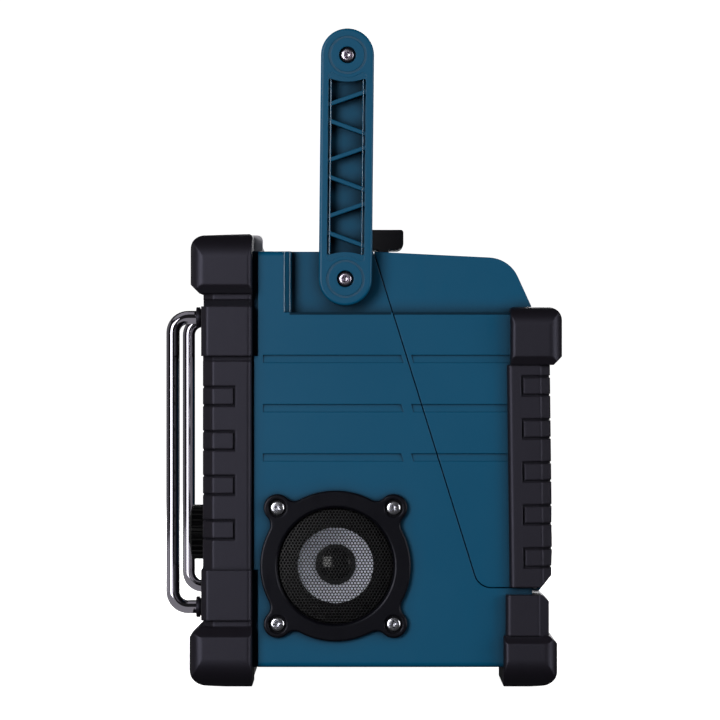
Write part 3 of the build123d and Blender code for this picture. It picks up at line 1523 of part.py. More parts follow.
def cell_box_x():
    """Middle of the cell box between the tub and the flank."""
    return (TUB_HALF + INNER_FLANK) / 2 - CELL_BOX_SHIFT


def cell_box(wall):
    """Box for the back-up cells, let into the tray, with the given wall added."""
    size = (CELL_BOX_WIDTH + 2 * wall, CELL_BOX_HEIGHT + 2 * wall, CELL_BOX_DEPTH + wall)
    return slope_plane() * Pos(cell_box_x(), CELL_BOX_DROP, -size[2] / 2) * Box(*size)


def lid_axis():
    """Pivot of the cell lid in the slope plane: down the slope, and out from it."""
    return (CELL_BOX_DROP + CELL_BOX_HEIGHT / 2 + 2 * CELL_LID, CELL_LID - TRIM_GAP + LID_LIFT)


def lid_bar(radius, half_length):
    """Round bar on the lid's pivot."""
    drop, rise = lid_axis()
    bar = Pos(cell_box_x(), drop, rise) * Rot(0, 90, 0) * Cylinder(radius, 2 * half_length)
    return slope_plane() * bar


def backup_lid():
    """Lid of the cell box, turning on its own trunnions."""
    drop, _ = lid_axis()
    top = CELL_BOX_DROP - CELL_BOX_HEIGHT / 2 - CELL_LID
    plate = Pos(cell_box_x(), (top + drop) / 2, TRIM_GAP + CELL_LID / 2) * Box(
        CELL_BOX_WIDTH + CELL_LID, drop - top, CELL_LID
    )
    half = CELL_BOX_WIDTH / 2 + CELL_LID / 2
    return slope_plane() * plate + lid_bar(LID_BARREL_R, half) + lid_bar(LID_PIN_R, half + CELL_LID)


def lid_ears():
    """Two ears on the tray for the lid's trunnions."""
    drop, rise = lid_axis()
    start = CELL_BOX_WIDTH / 2 + CELL_LID / 2 + TRIM_GAP
    ears = []
    for side in (-1, 1):
        place = Pos(cell_box_x() + side * (start + CELL_LID / 2), drop, LID_BARREL_R)
        ears.append(slope_plane() * place * Box(CELL_LID, 2 * CELL_LID, 2 * LID_BARREL_R))
    return ears


def battery_tray():
    """Inner rear wall with the battery tub, the cell box and the board posts."""
    tray = seam_layer(TRAY_SET_BACK, TRAY_SET_BACK + TRAY_THICK) & cavity(WALL + SEAT_GAP)
    tub_top = TOP - TUB_TOP_DROP
    post_y = TUB_BACK_Y - TRAY_THICK
    half = TUB_HALF + TRAY_THICK
    tub = block((-half, half), (post_y, FAR), (TUB_BOTTOM - TRAY_THICK, tub_top + TRAY_THICK))
    tray += tub - behind_seam(TRAY_SET_BACK)
    tray += cell_box(CELL_BOX_WALL)
    tray += lid_ears()
    tray -= block((-TUB_HALF, TUB_HALF), (TUB_BACK_Y, FAR), (TUB_BOTTOM, tub_top))
    tray -= cell_box(0)
    tray -= lid_bar(LID_PIN_R + RUN_GAP, FAR)
    tray -= [
        slope_disc(TRAY_SCREW_R + RUN_GAP, spot, -FAR / 4, FAR / 4) for spot in tray_screw_spots()
    ]
    across = MAIN_BOARD_WIDTH / 2 - BOARD_POST_R
    up = MAIN_BOARD_HEIGHT / 2 - BOARD_POST_R
    posts = [
        disc_y(BOARD_POST_R, x, MAIN_BOARD_Z + z, post_y - BOARD_POST, post_y)
        for x in (-across, across)
        for z in (-up, up)
    ]
    return tray + posts


def cover_gasket():
    """Seal on the tray's edge that closes the seam from inside."""
    depth = WALL + SEAT_GAP
    layer = seam_layer(-SEAM_GAP / 2 - GASKET_LIP, TRAY_SET_BACK)
    return layer & (cavity(depth) - cavity(depth + GASKET))


def tray_screws():
    """Screws that hold the tray to the cabinet's bosses."""
    screws = Part()
    for spot in tray_screw_spots():
        screws += slope_disc(TRAY_SCREW_HEAD_R, spot, 0, TRAY_SCREW_HEAD)
        screws += slope_disc(TRAY_SCREW_R, spot, -TRAY_SCREW_LENGTH, 0)
    return screws


def terminal_shoe():
    """Undercut rail that a slide-on battery pack runs on."""
    rail_start = TUB_BACK_Y + SHOE_BASE
    head_start = rail_start + RAIL_NECK
    z_range = (SHOE_BOTTOM, SHOE_BOTTOM + SHOE_HEIGHT)
    base = block((-SHOE_HALF, SHOE_HALF), (TUB_BACK_Y, rail_start), z_range)
    neck = block((-RAIL_NECK_HALF, RAIL_NECK_HALF), (rail_start, head_start), z_range)
    head = block((-SHOE_HALF, SHOE_HALF), (head_start, head_start + RAIL_HEAD), z_range)
    slot = block((-SHOE_SLOT_HALF, SHOE_SLOT_HALF), (head_start, FAR), (0, SHOE_BOTTOM + SHOE_SLOT))
    return base + neck + head - slot


def terminal_blades():
    """Upright contact blades on the shoe's face."""
    face = TUB_BACK_Y + SHOE_BASE + RAIL_NECK + RAIL_HEAD
    thick, deep, tall = BLADE
    top = SHOE_BOTTOM + SHOE_HEIGHT
    return sum(
        (
            block((x - thick / 2, x + thick / 2), (face, face + deep), (top - tall, top))
            for x in (-BLADE_PITCH, BLADE_PITCH)
        ),
        Part(),
    )


# Inside the cabinet

def bar_antenna():
    """Ferrite bar that receives AM, hung in two saddles."""
    half = BAR_ANTENNA_LENGTH / 2
    return disc_x(BAR_ANTENNA_R, BAR_ANTENNA_Y, TOP - BAR_ANTENNA_DROP, -half, half)


def bar_saddles():
    """Saddles under the cabinet's top wall."""
    z = TOP - BAR_ANTENNA_DROP
    reach = BAR_ANTENNA_R + BAR_SADDLE_WALL
    saddle = block(
        (BAR_SADDLE_X - BAR_SADDLE / 2, BAR_SADDLE_X + BAR_SADDLE / 2),
        (BAR_ANTENNA_Y - reach, BAR_ANTENNA_Y + reach),
        (z - reach, TOP - WALL / 2),
    )
    return both_sides(saddle) - disc_x(
        BAR_ANTENNA_R + RUN_GAP, BAR_ANTENNA_Y, z, -FAR, FAR
    )


def tray_seat():
    """Ledge round the inside of the cabinet that the tray lies on, with its bosses."""
    start = TRAY_SET_BACK + TRAY_THICK
    inside = cavity(WALL / 2)
    ledge = seam_layer(start, start + TRAY_LEDGE) & (inside - cavity(WALL + TRAY_LEDGE))
    boss_end = -TRAY_THICK
    bosses = [
        slope_disc(TRAY_SCREW_BOSS_R, spot, -TRAY_SCREW_LENGTH - WALL / 2, boss_end) & inside
        for spot in tray_screw_spots()
    ]
    holes = [
        slope_disc(TRAY_SCREW_R + RUN_GAP, spot, -TRAY_SCREW_LENGTH, 0)
        for spot in tray_screw_spots()
    ]
    return ledge + bosses - holes


def pivot_bosses():
    """Bosses in the recess floors that take the handle's pivot screws."""
    outer_face = ARM_INNER - TRIM_GAP
    inner_face = RECESS_FLOOR - SHANK_GRIP - WALL
    return both_sides(disc_x(PIVOT_BOSS_R, PIVOT_Y, PIVOT_Z, inner_face, outer_face))


def front_cabinet():
    """Cabinet shell with everything that is moulded on to it."""
    cabinet = body_shell() - behind_seam(SEAM_GAP / 2) - antenna_trough(0)
    cabinet += tray_seat() - behind_seam(SEAM_GAP / 2)
    cabinet += pivot_bosses()
    cabinet += bar_saddles()
    cabinet += antenna_ears()
    cabinet += latch_ears()
    web_top = SEAM_SHELF_Z - SEAM_GAP / 2
    cabinet += [barrel(*span, web_top, HINGE_Z - BARREL_WEB) for span in barrel_spans(0)]
    cabinet += flap_pocket(WALL) & block((-INNER_FLANK, WALL - INNER_FLANK), (-FAR, FAR), (0, FAR))
    cabinet -= barrel_notches(barrel_spans(1))
    cabinet -= hinge_bore()
    cabinet -= both_sides(wall_opening())
    cabinet -= latch_pin(LATCH_PIN_R + RUN_GAP)
    cabinet -= antenna_pin(WHIP_PIN_R + RUN_GAP)
    cabinet -= flap_pocket(SEAT_GAP)
    cabinet -= disc_x(DC_R + RUN_GAP, DC_Y, DC_Z, -FAR, 0)
    pivot_hole = disc_x(
        PIVOT_SHANK_R + RUN_GAP, PIVOT_Y, PIVOT_Z, RECESS_FLOOR - SHANK_GRIP - RUN_GAP, FAR
    )
    cabinet -= both_sides(pivot_hole)
    wire_slot = Pos(0, console_middle()) * Rectangle(WIRE_SLOT_WIDTH, WIRE_SLOT_HEIGHT)
    return cabinet - along_y(wire_slot, -FAR, BODY_FRONT + 2 * WALL)


def battery_cover():
    """Rear cover shell with its hinge barrels and the slot for the latch."""
    cover = body_shell() & behind_seam(-SEAM_GAP / 2)
    cover += [barrel(*span, COVER_EDGE_Z, HINGE_Z + BARREL_WEB) for span in barrel_spans(1)]
    cover -= barrel_notches(barrel_spans(0))
    return cover - hinge_bore() - latch_slot()


# The radio, piece by piece

def mirrored_pair(name, piece):
    """The piece for the right-hand side and its mirror image for the left."""
    return {f"{name}_right": piece, f"{name}_left": mirror(piece, about=Plane.YZ)}


def radio():
    """Every piece of the radio by name."""
    pieces = {
        "front_cabinet": front_cabinet(),
        "battery_cover": battery_cover(),
        "battery_tray": battery_tray(),
        "cover_gasket": cover_gasket(),
        "tray_screws": tray_screws(),
        "terminal_shoe": terminal_shoe(),
        "terminal_blades": terminal_blades(),
        "backup_lid": backup_lid(),
        "hinge_pin": hinge_pin(),
        "latch": latch(),
        "pivot_pins": latch_pin(LATCH_PIN_R) + antenna_pin(WHIP_PIN_R),
        "latch_spring": latch_spring(),
        "whip_antenna": whip_antenna(),
        "bar_antenna": bar_antenna(),
        "front_bezel": front_bezel(),
        "console_panel": console_panel(),
        "lcd_window": lcd_window(),
        "lcd_module": lcd_module(),
        "circuit_boards": circuit_boards(),
        "board_components": board_components(),
        "encoder_shaft": encoder_shaft(),
        "tuning_knob": tuning_knob(),
        "knob_trim": knob_trim(),
        "input_jacks": aux_socket() + dc_socket(),
        "dc_flap": dc_flap(),
        "guard_collars": guard_collars(),
        "speaker_baskets": both_sides(speaker_basket()),
        "speaker_magnets": both_sides(speaker_magnet()),
        "speaker_surrounds": both_sides(speaker_surround()),
        "speaker_cones": both_sides(speaker_cone()),
        "dust_caps": both_sides(dust_cap()),
        "speaker_screws": speaker_screws(),
        "grip_core": grip_core(),
        "grip_sleeve": grip_sleeve(),
        "pivot_screws": both_sides(arm_screw((0, 0), PIVOT_SHANK_R, RECESS_FLOOR)),
        "grip_screws": both_sides(arm_screw((0, ARM_REACH), GRIP_SHANK_R, ARM_INNER)),
    }
    pieces |= mirrored_pair("front_bumper", front_bumper())
    pieces |= mirrored_pair("rear_foot", rear_foot())
    pieces |= mirrored_pair("cover_bumper", cover_bumper())
    pieces |= mirrored_pair("guard_tube", guard_tube())
    pieces |= mirrored_pair("speaker_ring", speaker_ring())
    pieces |= mirrored_pair("speaker_grille", speaker_grille())
    pieces |= mirrored_pair("handle_arm", handle_arm())
    pieces |= {name: button(x, z, width) for name, x, z, width in button_layout()}
    return pieces


os.makedirs("parts", exist_ok=True)
for node, piece in radio().items():
    export_step(piece, os.path.join("parts", f"{node}.step"))
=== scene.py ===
from math import asin, atan2, ceil, cos, hypot, pi, radians, sin, sqrt

import bpy
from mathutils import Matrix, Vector


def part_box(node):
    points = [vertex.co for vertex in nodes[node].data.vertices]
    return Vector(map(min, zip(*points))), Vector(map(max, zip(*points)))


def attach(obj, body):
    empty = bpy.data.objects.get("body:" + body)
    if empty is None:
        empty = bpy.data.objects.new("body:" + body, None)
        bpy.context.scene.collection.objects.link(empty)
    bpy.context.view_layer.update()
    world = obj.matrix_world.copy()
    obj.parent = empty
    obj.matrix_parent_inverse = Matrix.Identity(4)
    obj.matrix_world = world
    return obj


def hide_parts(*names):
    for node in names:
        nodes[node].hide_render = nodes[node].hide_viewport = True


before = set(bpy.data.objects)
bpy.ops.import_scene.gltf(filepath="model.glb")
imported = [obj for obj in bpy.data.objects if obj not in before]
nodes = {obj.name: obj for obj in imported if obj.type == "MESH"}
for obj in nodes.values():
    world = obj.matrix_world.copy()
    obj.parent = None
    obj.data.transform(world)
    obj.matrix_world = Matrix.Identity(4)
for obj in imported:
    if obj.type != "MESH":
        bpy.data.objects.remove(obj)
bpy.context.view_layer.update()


# Studio. The radio stands side-on to a long lens on a pale round sheet that sweeps up on all
# sides. A tall soft box stands on either side of the lens, the right one further round. Fills
# light the other sides and don't show in gloss.

def make_camera():
    lens = bpy.data.cameras.new("studio_camera")
    lens.sensor_width = 36.0
    lens.lens = 216.35
    lens.clip_start = 0.1
    lens.clip_end = 50.0
    camera = bpy.data.objects.new("studio_camera", lens)
    camera.location = (2.1, -0.0012, 0.1495)
    camera.rotation_euler = (radians(90), 0, radians(90))
    bpy.context.scene.collection.objects.link(camera)
    bpy.context.scene.camera = camera


def make_soft_box(name, bearing, height, distance, size, power, aim=(0, 0, 0.14)):
    """Lamp at a bearing in degrees from the lens's side of the radio, turned towards aim."""
    light = bpy.data.lights.new(name, "AREA")
    light.shape = "RECTANGLE"
    light.size, light.size_y = size
    light.energy = power
    box = bpy.data.objects.new(name, light)
    turn = radians(bearing)
    box.location = (distance * cos(turn), distance * sin(turn), height)
    box.rotation_euler = (Vector(aim) - box.location).to_track_quat("-Z", "Y").to_euler()
    box.visible_camera = False
    bpy.context.scene.collection.objects.link(box)
    return box


make_camera()
make_soft_box("left_soft_box", -28, height=0.3, distance=2.0, size=(0.9, 1.1), power=38)
make_soft_box("right_soft_box", 57, height=0.3, distance=2.0, size=(1.0, 1.1), power=20)
make_soft_box("front_card", -110, height=0.6, distance=2.2, size=(2.4, 1.6), power=4)
make_soft_box("rear_soft_box", 165, height=0.9, distance=2.0, size=(1.2, 0.9), power=30)
for name, bearing in (("front_fill", -95), ("rear_fill", 115), ("far_fill", -150)):
    fill = make_soft_box(name, bearing, height=0.5, distance=2.0, size=(1.0, 1.1), power=24)
    fill.visible_glossy = False

world = bpy.data.worlds.new("studio_air")
world.use_nodes = True
air = world.node_tree.nodes["Background"]
air.inputs["Color"].default_value = (0.97, 0.98, 1, 1)
air.inputs["Strength"].default_value = 0.05
bpy.context.scene.world = world
bpy.context.scene.view_settings.view_transform = "Standard"


def new_object(name, vertices, faces, smooth=True):
    mesh = bpy.data.meshes.new(name)
    mesh.from_pydata([Vector(v) for v in vertices], [], faces)
    for face in mesh.polygons:
        face.use_smooth = smooth
    made = bpy.data.objects.new(name, mesh)
    bpy.context.scene.collection.objects.link(made)
    return made


def make_backdrop():
    """Round floor that sweeps up into a wall on every side. Its paper gives off its own white,
    is seen by the lens, and neither lights the radio nor shows in it."""
    reach, bend, top = 6.0, 1.5, 5.0
    sides, bend_steps = 48, 12
    gap_below = 0.0002
    line = [(0.01, 0.0), (1.0, 0.0), (reach - bend, 0.0)]
    for step in range(1, bend_steps + 1):
        a = radians(step * 90 / bend_steps)
        line.append((reach - bend + bend * sin(a), bend - bend * cos(a)))
    line.append((reach, top))
    turns = [2 * pi * i / sides for i in range(sides)]
    corners = [
        (out * cos(a), out * sin(a), up - gap_below) for out, up in line for a in turns
    ]
    faces = [tuple(range(sides))]
    for row in range(len(line) - 1):
        low, high = row * sides, (row + 1) * sides
        for i in range(sides):
            j = (i + 1) % sides
            faces.append((low + i, high + i, high + j, low + j))
    sheet = new_object("studio_backdrop", corners, faces)
    paper = bpy.data.materials.new("backdrop_paper")
    paper.use_nodes = True
    shader = paper.node_tree.nodes["Principled BSDF"]
    shader.inputs["Base Color"].default_value = (0.8, 0.8, 0.8, 1)
    shader.inputs["Roughness"].default_value = 0.9
    shader.inputs["Specular IOR Level"].default_value = 0.0
    shader.inputs["Emission Color"].default_value = (1, 1, 1, 1)
    shader.inputs["Emission Strength"].default_value = 1.0
    sheet.data.materials.append(paper)
    sheet.visible_diffuse = False
    sheet.visible_glossy = False


make_backdrop()


# Body mouldings. The cabinet, the battery cover and the handle's two arms are injection-moulded
# in one teal plastic with a fine satin grain, a little more polished where hands rub.

class Wire:
    """A value on its way through a finish. Sums on it add Math nodes."""

    def __init__(self, finish, socket):
        self.finish = finish
        self.socket = socket

    def math(self, operation, first, second):
        return self.finish.math(operation, first, second)

    def __add__(self, other):
        return self.math("ADD", self, other)

    def __sub__(self, other):
        return self.math("SUBTRACT", self, other)

    def __mul__(self, other):
        return self.math("MULTIPLY", self, other)

    def __rsub__(self, other):
        return self.math("SUBTRACT", other, self)

    __radd__ = __add__
    __rmul__ = __mul__

    def above(self, level):
        return self.math("GREATER_THAN", self, level)

    def below(self, level):
        return self.math("LESS_THAN", self, level)


class Finish:
    """Procedural material built round one Principled shader."""

    def __init__(self, name, **settings):
        self.material = bpy.data.materials.new(name)
        self.material.use_nodes = True
        self.tree = self.material.node_tree
        self.shader = self.tree.nodes["Principled BSDF"]
        for title, value in settings.items():
            self.shader.inputs[title.replace("_", " ")].default_value = value
        self.place = self.node("ShaderNodeTexCoord", {}, {}, "Object")

    def node(self, kind, settings, sockets, output=0):
        made = self.tree.nodes.new(kind)
        for name, value in settings.items():
            setattr(made, name, value)
        for name, value in sockets.items():
            if isinstance(value, Wire):
                self.tree.links.new(value.socket, made.inputs[name])
            else:
                made.inputs[name].default_value = value
        return Wire(self, made.outputs[output])

    def math(self, operation, first, second):
        return self.node("ShaderNodeMath", {"operation": operation}, {0: first, 1: second})

    def feed(self, **wires):
        for title, wire in wires.items():
            self.tree.links.new(wire.socket, self.shader.inputs[title.replace("_", " ")])
        return self

    def grain(self, size, detail=2.0, stretch=None):
        """Cloudy variation with features about size metres across."""
        place = self.place
        if stretch:
            place = self.node(
                "ShaderNodeVectorMath", {"operation": "MULTIPLY"}, {0: place, 1: stretch}
            )
        return self.node(
            "ShaderNodeTexNoise", {}, {"Vector": place, "Scale": 1 / size, "Detail": detail}
        )

    def mix(self, amount, first, second):
        return self.node(
            "ShaderNodeMix", {"data_type": "RGBA"}, {0: amount, 6: first, 7: second}, 2
        )

    def ramp(self, value, low, high):
        """Value spread from 0 at low to 1 at high."""
        return self.node(
            "ShaderNodeMapRange", {}, {"Value": value, "From Min": low, "From Max": high}
        )

    def arris(self, radius):
        """Normal that rounds the sharp edges over, and how strongly it does so at each point."""
        rounded = self.node("ShaderNodeBevel", {"samples": 6}, {"Radius": radius})
        plain = self.node("ShaderNodeNewGeometry", {}, {}, "Normal")
        turn = self.node(
            "ShaderNodeVectorMath", {"operation": "DOT_PRODUCT"}, {0: rounded, 1: plain}, "Value"
        )
        return rounded, self.ramp(turn, low=0.995, high=0.9)

    def hollow(self, reach):
        """How deep in a groove or corner a point lies, from 0 in the open to 1."""
        shade = self.node(
            "ShaderNodeAmbientOcclusion", {"samples": 6}, {"Distance": reach}, "AO"
        )
        return self.ramp(shade, low=0.92, high=0.35)

    def bump(self, height, depth, under=None):
        sockets = {"Height": height, "Distance": depth, "Strength": 1.0}
        if under:
            sockets["Normal"] = under
        return self.node("ShaderNodeBump", {}, sockets)


def colour(red, green, blue):
    """Shader colour from the 0 to 255 values of a paint chip."""
    def linear(value):
        value /= 255
        return value / 12.92 if value <= 0.04045 else ((value + 0.055) / 1.055) ** 2.4
    return (linear(red), linear(green), linear(blue), 1.0)


def moulded(
    name, base, pale, rough, level=0.5, grain_depth=0.00002, edge=0.0003, reach=0.0022, shade_bands=(),
):
    """Moulded plastic or rubber: fine grain, cloudy gloss, edges paler from wear and a painted
    highlight, painted shade darkening the grooves and corners, and level stripes of painted shade
    given by their heights."""
    finish = Finish(name, Specular_IOR_Level=level)
    clouds = finish.grain(0.035, 3.0)
    fine = finish.grain(0.0005, 1.0)
    rounded, arris = finish.arris(edge)
    # Painted shade: in grooves and corners the colour darkens towards near-black, from ambient
    # occlusion.
    groove = finish.hollow(reach)
    # Level stripes of painted shade, laid on by height.
    for low, high in shade_bands:
        height = finish.node("ShaderNodeSeparateXYZ", {}, {"Vector": finish.place}, "Z")
        groove = finish.math("MAXIMUM", groove, height.above(low) * height.below(high))
    rubs = finish.ramp(finish.grain(0.004, 4.0, stretch=(1, 1, 0.25)), low=0.56, high=0.72)
    # Near-black that the painted shade mixes in.
    shade_colour = tuple(0.12 * part for part in base[:3]) + (1,)
    tint = finish.mix(clouds * 0.6 + fine * 0.25, base, pale)
    # Edges paler: partly wear, partly a painted highlight along the rims.
    tint = finish.mix(rubs * 0.1 + arris * 0.35, tint, pale)
    # Painted shade mixed into the colour.
    tint = finish.mix(groove * 0.9, tint, shade_colour)
    gloss = rough + (clouds - 0.5) * 0.08 - rubs * 0.04 - arris * 0.06 + groove * 0.4
    return finish.feed(
        Base_Color=tint, Roughness=gloss, Normal=finish.bump(fine, grain_depth, rounded)
    )


def dress(finish, *names):
    """Give CAD pieces their finish."""
    for name in names:
        slots = nodes[name].data.materials
        slots.clear()
        slots.append(finish.material)


# The teal's painted shade reaches 7 mm, darkening it beside the proud bumpers and in the
# recesses.
teal = moulded(
    "teal_moulding", colour(0, 71, 102), colour(2, 77, 109), rough=0.4, level=0.2,
    edge=0.0006, reach=0.007,
)
dress(teal, "front_cabinet", "battery_cover", "handle_arm_left", "handle_arm_right")


# Padded corners. Bumpers, feet and the two corners on the cover are moulded in black rubber
# with a dull sheen. Two dark lines round the neck under each front head are painted shade,
# laid on by height, and aren't form: the upper one on the head's downward bevel, the lower one
# in the neck's shallow groove.

# Heights of the two stripes of painted shade round each neck.
UPPER_SHADE_LINE = (0.1801, 0.1824)
LOWER_SHADE_LINE = (0.1743, 0.1764)

corner_black = moulded(
    "corner_rubber", colour(10, 7, 11), colour(16, 13, 18), rough=0.5, level=0.41,
    grain_depth=0.00003, edge=0.001, shade_bands=(LOWER_SHADE_LINE, UPPER_SHADE_LINE),
)
corner_black.shader.inputs["Specular Tint"].default_value = (0.77, 0.76, 1, 1)
dress(
    corner_black,
    "front_bumper_left", "front_bumper_right", "cover_bumper_left", "cover_bumper_right",
    "rear_foot_left", "rear_foot_right",
)


# Guard tubes. Bent steel tube, polished and chromed, pushed into flanged black collars in the
# corner blocks. Three cards light the tubes alone, and draw the bright lines along them.

chrome = Finish("tube_chrome", Metallic=1.0, Base_Color=colour(124, 121, 130))
haze = chrome.grain(0.006, 3.0)
chrome.feed(Roughness=haze * 0.05 + 0.02, Normal=chrome.bump(chrome.grain(0.003), 0.000004))
dress(chrome, "guard_tube_left", "guard_tube_right")
tubes = bpy.data.collections.new("guard_tubes")
for name in ("guard_tube_left", "guard_tube_right"):
    tubes.objects.link(nodes[name])
cards = (
    make_soft_box("tube_card", -110, height=0.6, distance=2.2, size=(2.4, 1.6), power=24),
    make_soft_box(
        "floor_card", -60, height=0.004, distance=0.8, size=(1.6, 1.6), power=6,
        aim=(0.4, -0.69, 1),
    ),
    make_soft_box("sky_card", -60, height=1.9, distance=0.8, size=(2.0, 2.0), power=10),
)
for card in cards:
    card.light_linking.receiver_collection = tubes
dress(corner_black, "guard_collars")


# Loudspeakers. A black ring with four screwed ears clamps a sheet pressed full of hexagonal
# holes; behind it are a pale paper cone, its rubber roll, a dark dust cap and the magnet.

FLANK = 0.124
SPEAKER = (-0.0124, 0.0555)
SHEET_R = 0.0288
SHEET_THICKNESS = 0.0003
SHEET_SUNK = 0.0001
OPEN_R = 0.0268
HOLE_PITCH = 0.0015
WEB = 0.0004
DISH_R = 0.0264
DISH = 0.0012
RIM_STEP = 0.0009
RIM_RUN = 0.0007
MICRONS = 1e6


def dish_rise(reach):
    """Height of the sheet at this distance from its middle: a step at the rim, then a dome."""
    inside = DISH_R - reach
    if inside <= 0:
        return 0
    radius = (DISH_R**2 + DISH**2) / (2 * DISH)
    dome = sqrt(max(radius**2 - reach**2, 0)) - radius + DISH
    return dome + RIM_STEP * min(inside / RIM_RUN, 1)


def make_mesh_sheet(name, side):
    """Pressed sheet: a honeycomb of cells, each a ring of six webs round its hole."""
    vertices, faces, seen = [], [], {}

    def vertex(across, up):
        key = (round(across * MICRONS), round(up * MICRONS))
        if key not in seen:
            seen[key] = len(vertices)
            height = FLANK - SHEET_SUNK + dish_rise(hypot(across, up))
            vertices.append((side * height, SPEAKER[0] + across, SPEAKER[1] + up))
        return seen[key]

    row_pitch = HOLE_PITCH * sqrt(3) / 2
    outer = HOLE_PITCH / sqrt(3)
    inner = (HOLE_PITCH - WEB) / sqrt(3)
    rows = ceil(SHEET_R / row_pitch)
    turns = [radians(30 + 60 * i) for i in range(6)]
    for row in range(-rows, rows + 1):
        for column in range(-rows - 2, rows + 3):
            across = (column + 0.5 * (row % 2)) * HOLE_PITCH
            up = row * row_pitch
            if hypot(across, up) > SHEET_R:
                continue
            rim = [vertex(across + outer * cos(a), up + outer * sin(a)) for a in turns]
            if hypot(across, up) > OPEN_R:
                faces.append(rim)
                continue
            hole = [vertex(across + inner * cos(a), up + inner * sin(a)) for a in turns]
            for i in range(6):
                j = (i + 1) % 6
                faces.append((rim[i], rim[j], hole[j], hole[i]))
    if side < 0:
        faces = [tuple(reversed(face)) for face in faces]
    sheet = new_object(name, vertices, faces, smooth=False)
    plate = sheet.modifiers.new("sheet_thickness", "SOLIDIFY")
    plate.thickness = SHEET_THICKNESS
    plate.offset = -1
    return sheet


sheet_black = moulded(
    "sheet_paint", colour(4, 4, 6), colour(10, 10, 13), rough=0.34, level=0.3,
    grain_depth=0.00001,
)
for word, side in (("right", 1), ("left", -1)):
    sheet = make_mesh_sheet(f"hex_grille_{word}", side)
    sheet.data.materials.append(sheet_black.material)
    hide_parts(f"speaker_grille_{word}")
    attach(sheet, "radio")

ring_black = moulded(
    "ring_moulding", colour(3, 3, 7), colour(9, 9, 14), rough=0.32, level=0.19, edge=0.001
)
ring_black.shader.inputs["Specular Tint"].default_value = (0.84, 0.84, 1, 1)
dress(ring_black, "speaker_ring_left", "speaker_ring_right")

paper = moulded(
    "cone_paper", colour(228, 231, 246), colour(236, 238, 250), rough=0.6, level=0.4,
    grain_depth=0.00004,
)
dress(paper, "speaker_cones")
soft_black = moulded("roll_rubber", colour(2, 2, 3), colour(4, 4, 5), rough=0.7, level=0.05)
dress(soft_black, "speaker_surrounds", "speaker_baskets")
cap_black = moulded(
    "cap_lacquer", colour(2, 2, 3), colour(4, 4, 5), rough=0.16, level=0.3,
    grain_depth=0.000003,
)
dress(cap_black, "dust_caps")
dress(sheet_black, "speaker_magnets")


# Seals. A soft black rubber gasket lies between the cabinet and the battery cover. A flap of the
# same rubber closes over the power socket in the left flank, and turns about its upper edge.

dress(soft_black, "cover_gasket", "dc_flap")


# Window trim. Each arm's window ends in a curve round both bosses, with a bead down either side.
# They belong to the arm's own moulding; here they are one thin glossy piece fitted over the arm.

PIVOT = (-0.0079, 0.1865)
GRIP_END = (-0.0069, 0.2887)
ARM_RUN = (GRIP_END[0] - PIVOT[0], GRIP_END[1] - PIVOT[1])
ARM_LENGTH = hypot(*ARM_RUN)
ARM_FACE = 0.1265
WINDOW_HALF = 0.0085
WINDOW_DEPTH = 0.0078
BOSS_R = 0.0103
END_R = 0.0122
END_HOLLOW = 0.0017
END_CORNER_R = 0.0013
END_SUNK = 0.00003
GROOVE_RADII = (0.0077, 0.0087)
GROOVE_DEPTH = 0.00022
SHARP_TURN = radians(38)


def on_arm(across, along):
    """Point on an arm's face: across towards the rear, along from the pivot to the grip."""
    along_y, along_z = ARM_RUN[0] / ARM_LENGTH, ARM_RUN[1] / ARM_LENGTH
    return (
        PIVOT[0] + across * along_z + along * along_y,
        PIVOT[1] - across * along_y + along * along_z,
    )


def add_bead(vertices, faces, side, start, stop, radii, height):
    """Half-round bead on a side wall between two points of it: radii are half its width and how
    proud it stands."""
    half_width, proud = radii
    ring = 10
    run = (stop[0] - start[0], stop[1] - start[1])
    reach = hypot(*run)
    first = len(vertices)
    for y, z in (start, stop):
        for i in range(ring + 1):
            turn = pi * i / ring
            across = half_width * cos(turn)
            place = (y + across * run[1] / reach, z - across * run[0] / reach)
            vertices.append((side * (height + proud * sin(turn)), *place))
    for i in range(ring):
        face = (first + i, first + i + 1, first + ring + 2 + i, first + ring + 1 + i)
        faces.append(face if side < 0 else tuple(reversed(face)))


def end_rise(across):
    """How far from its boss a window's end stands along the arm, hollow, with round corners."""
    past = min(max(abs(across) - (WINDOW_HALF - END_CORNER_R), 0), END_CORNER_R)
    corner = END_CORNER_R - sqrt(END_CORNER_R**2 - past**2)
    return END_R - END_HOLLOW * (across / WINDOW_HALF) ** 2 + corner


def add_window_end(vertices, faces, side, boss, toward):
    """Curved end of a window, on the boss at this place along the arm: its face and its wall."""
    steps = 30
    spread = asin((WINDOW_HALF + 0.0001) / END_R)
    for step in range(steps):
        angles = [-spread + 2 * spread * (step + k) / steps for k in (0, 1)]
        outer = [(END_R * sin(a), boss + toward * end_rise(END_R * sin(a))) for a in angles]
        inner = [(across, boss + toward * sqrt(BOSS_R**2 - across**2)) for across, _ in outer]
        outline = [inner[0], inner[1], outer[1], outer[0]]
        first = len(vertices)
        for height in (ARM_FACE - WINDOW_DEPTH, ARM_FACE - END_SUNK):
            vertices.extend((side * height, *on_arm(*point)) for point in outline)
        made = [
            (first + 4, first + 5, first + 6, first + 7),
            (first + 3, first + 7, first + 6, first + 2),
        ]
        flip = (toward > 0) == (side > 0)
        faces.extend(made if flip else [tuple(reversed(face)) for face in made])


def add_groove_floor(vertices, faces, side, boss):
    """Flat ring that makes the groove round a boss shallower."""
    first, steps = len(vertices), 64
    for radius in GROOVE_RADII:
        for i in range(steps):
            a = 2 * pi * i / steps
            place = on_arm(radius * cos(a), boss + radius * sin(a))
            vertices.append((side * (ARM_FACE - GROOVE_DEPTH), *place))
    for i in range(steps):
        j = (i + 1) % steps
        face = (first + i, first + steps + i, first + steps + j, first + j)
        faces.append(face if side < 0 else tuple(reversed(face)))


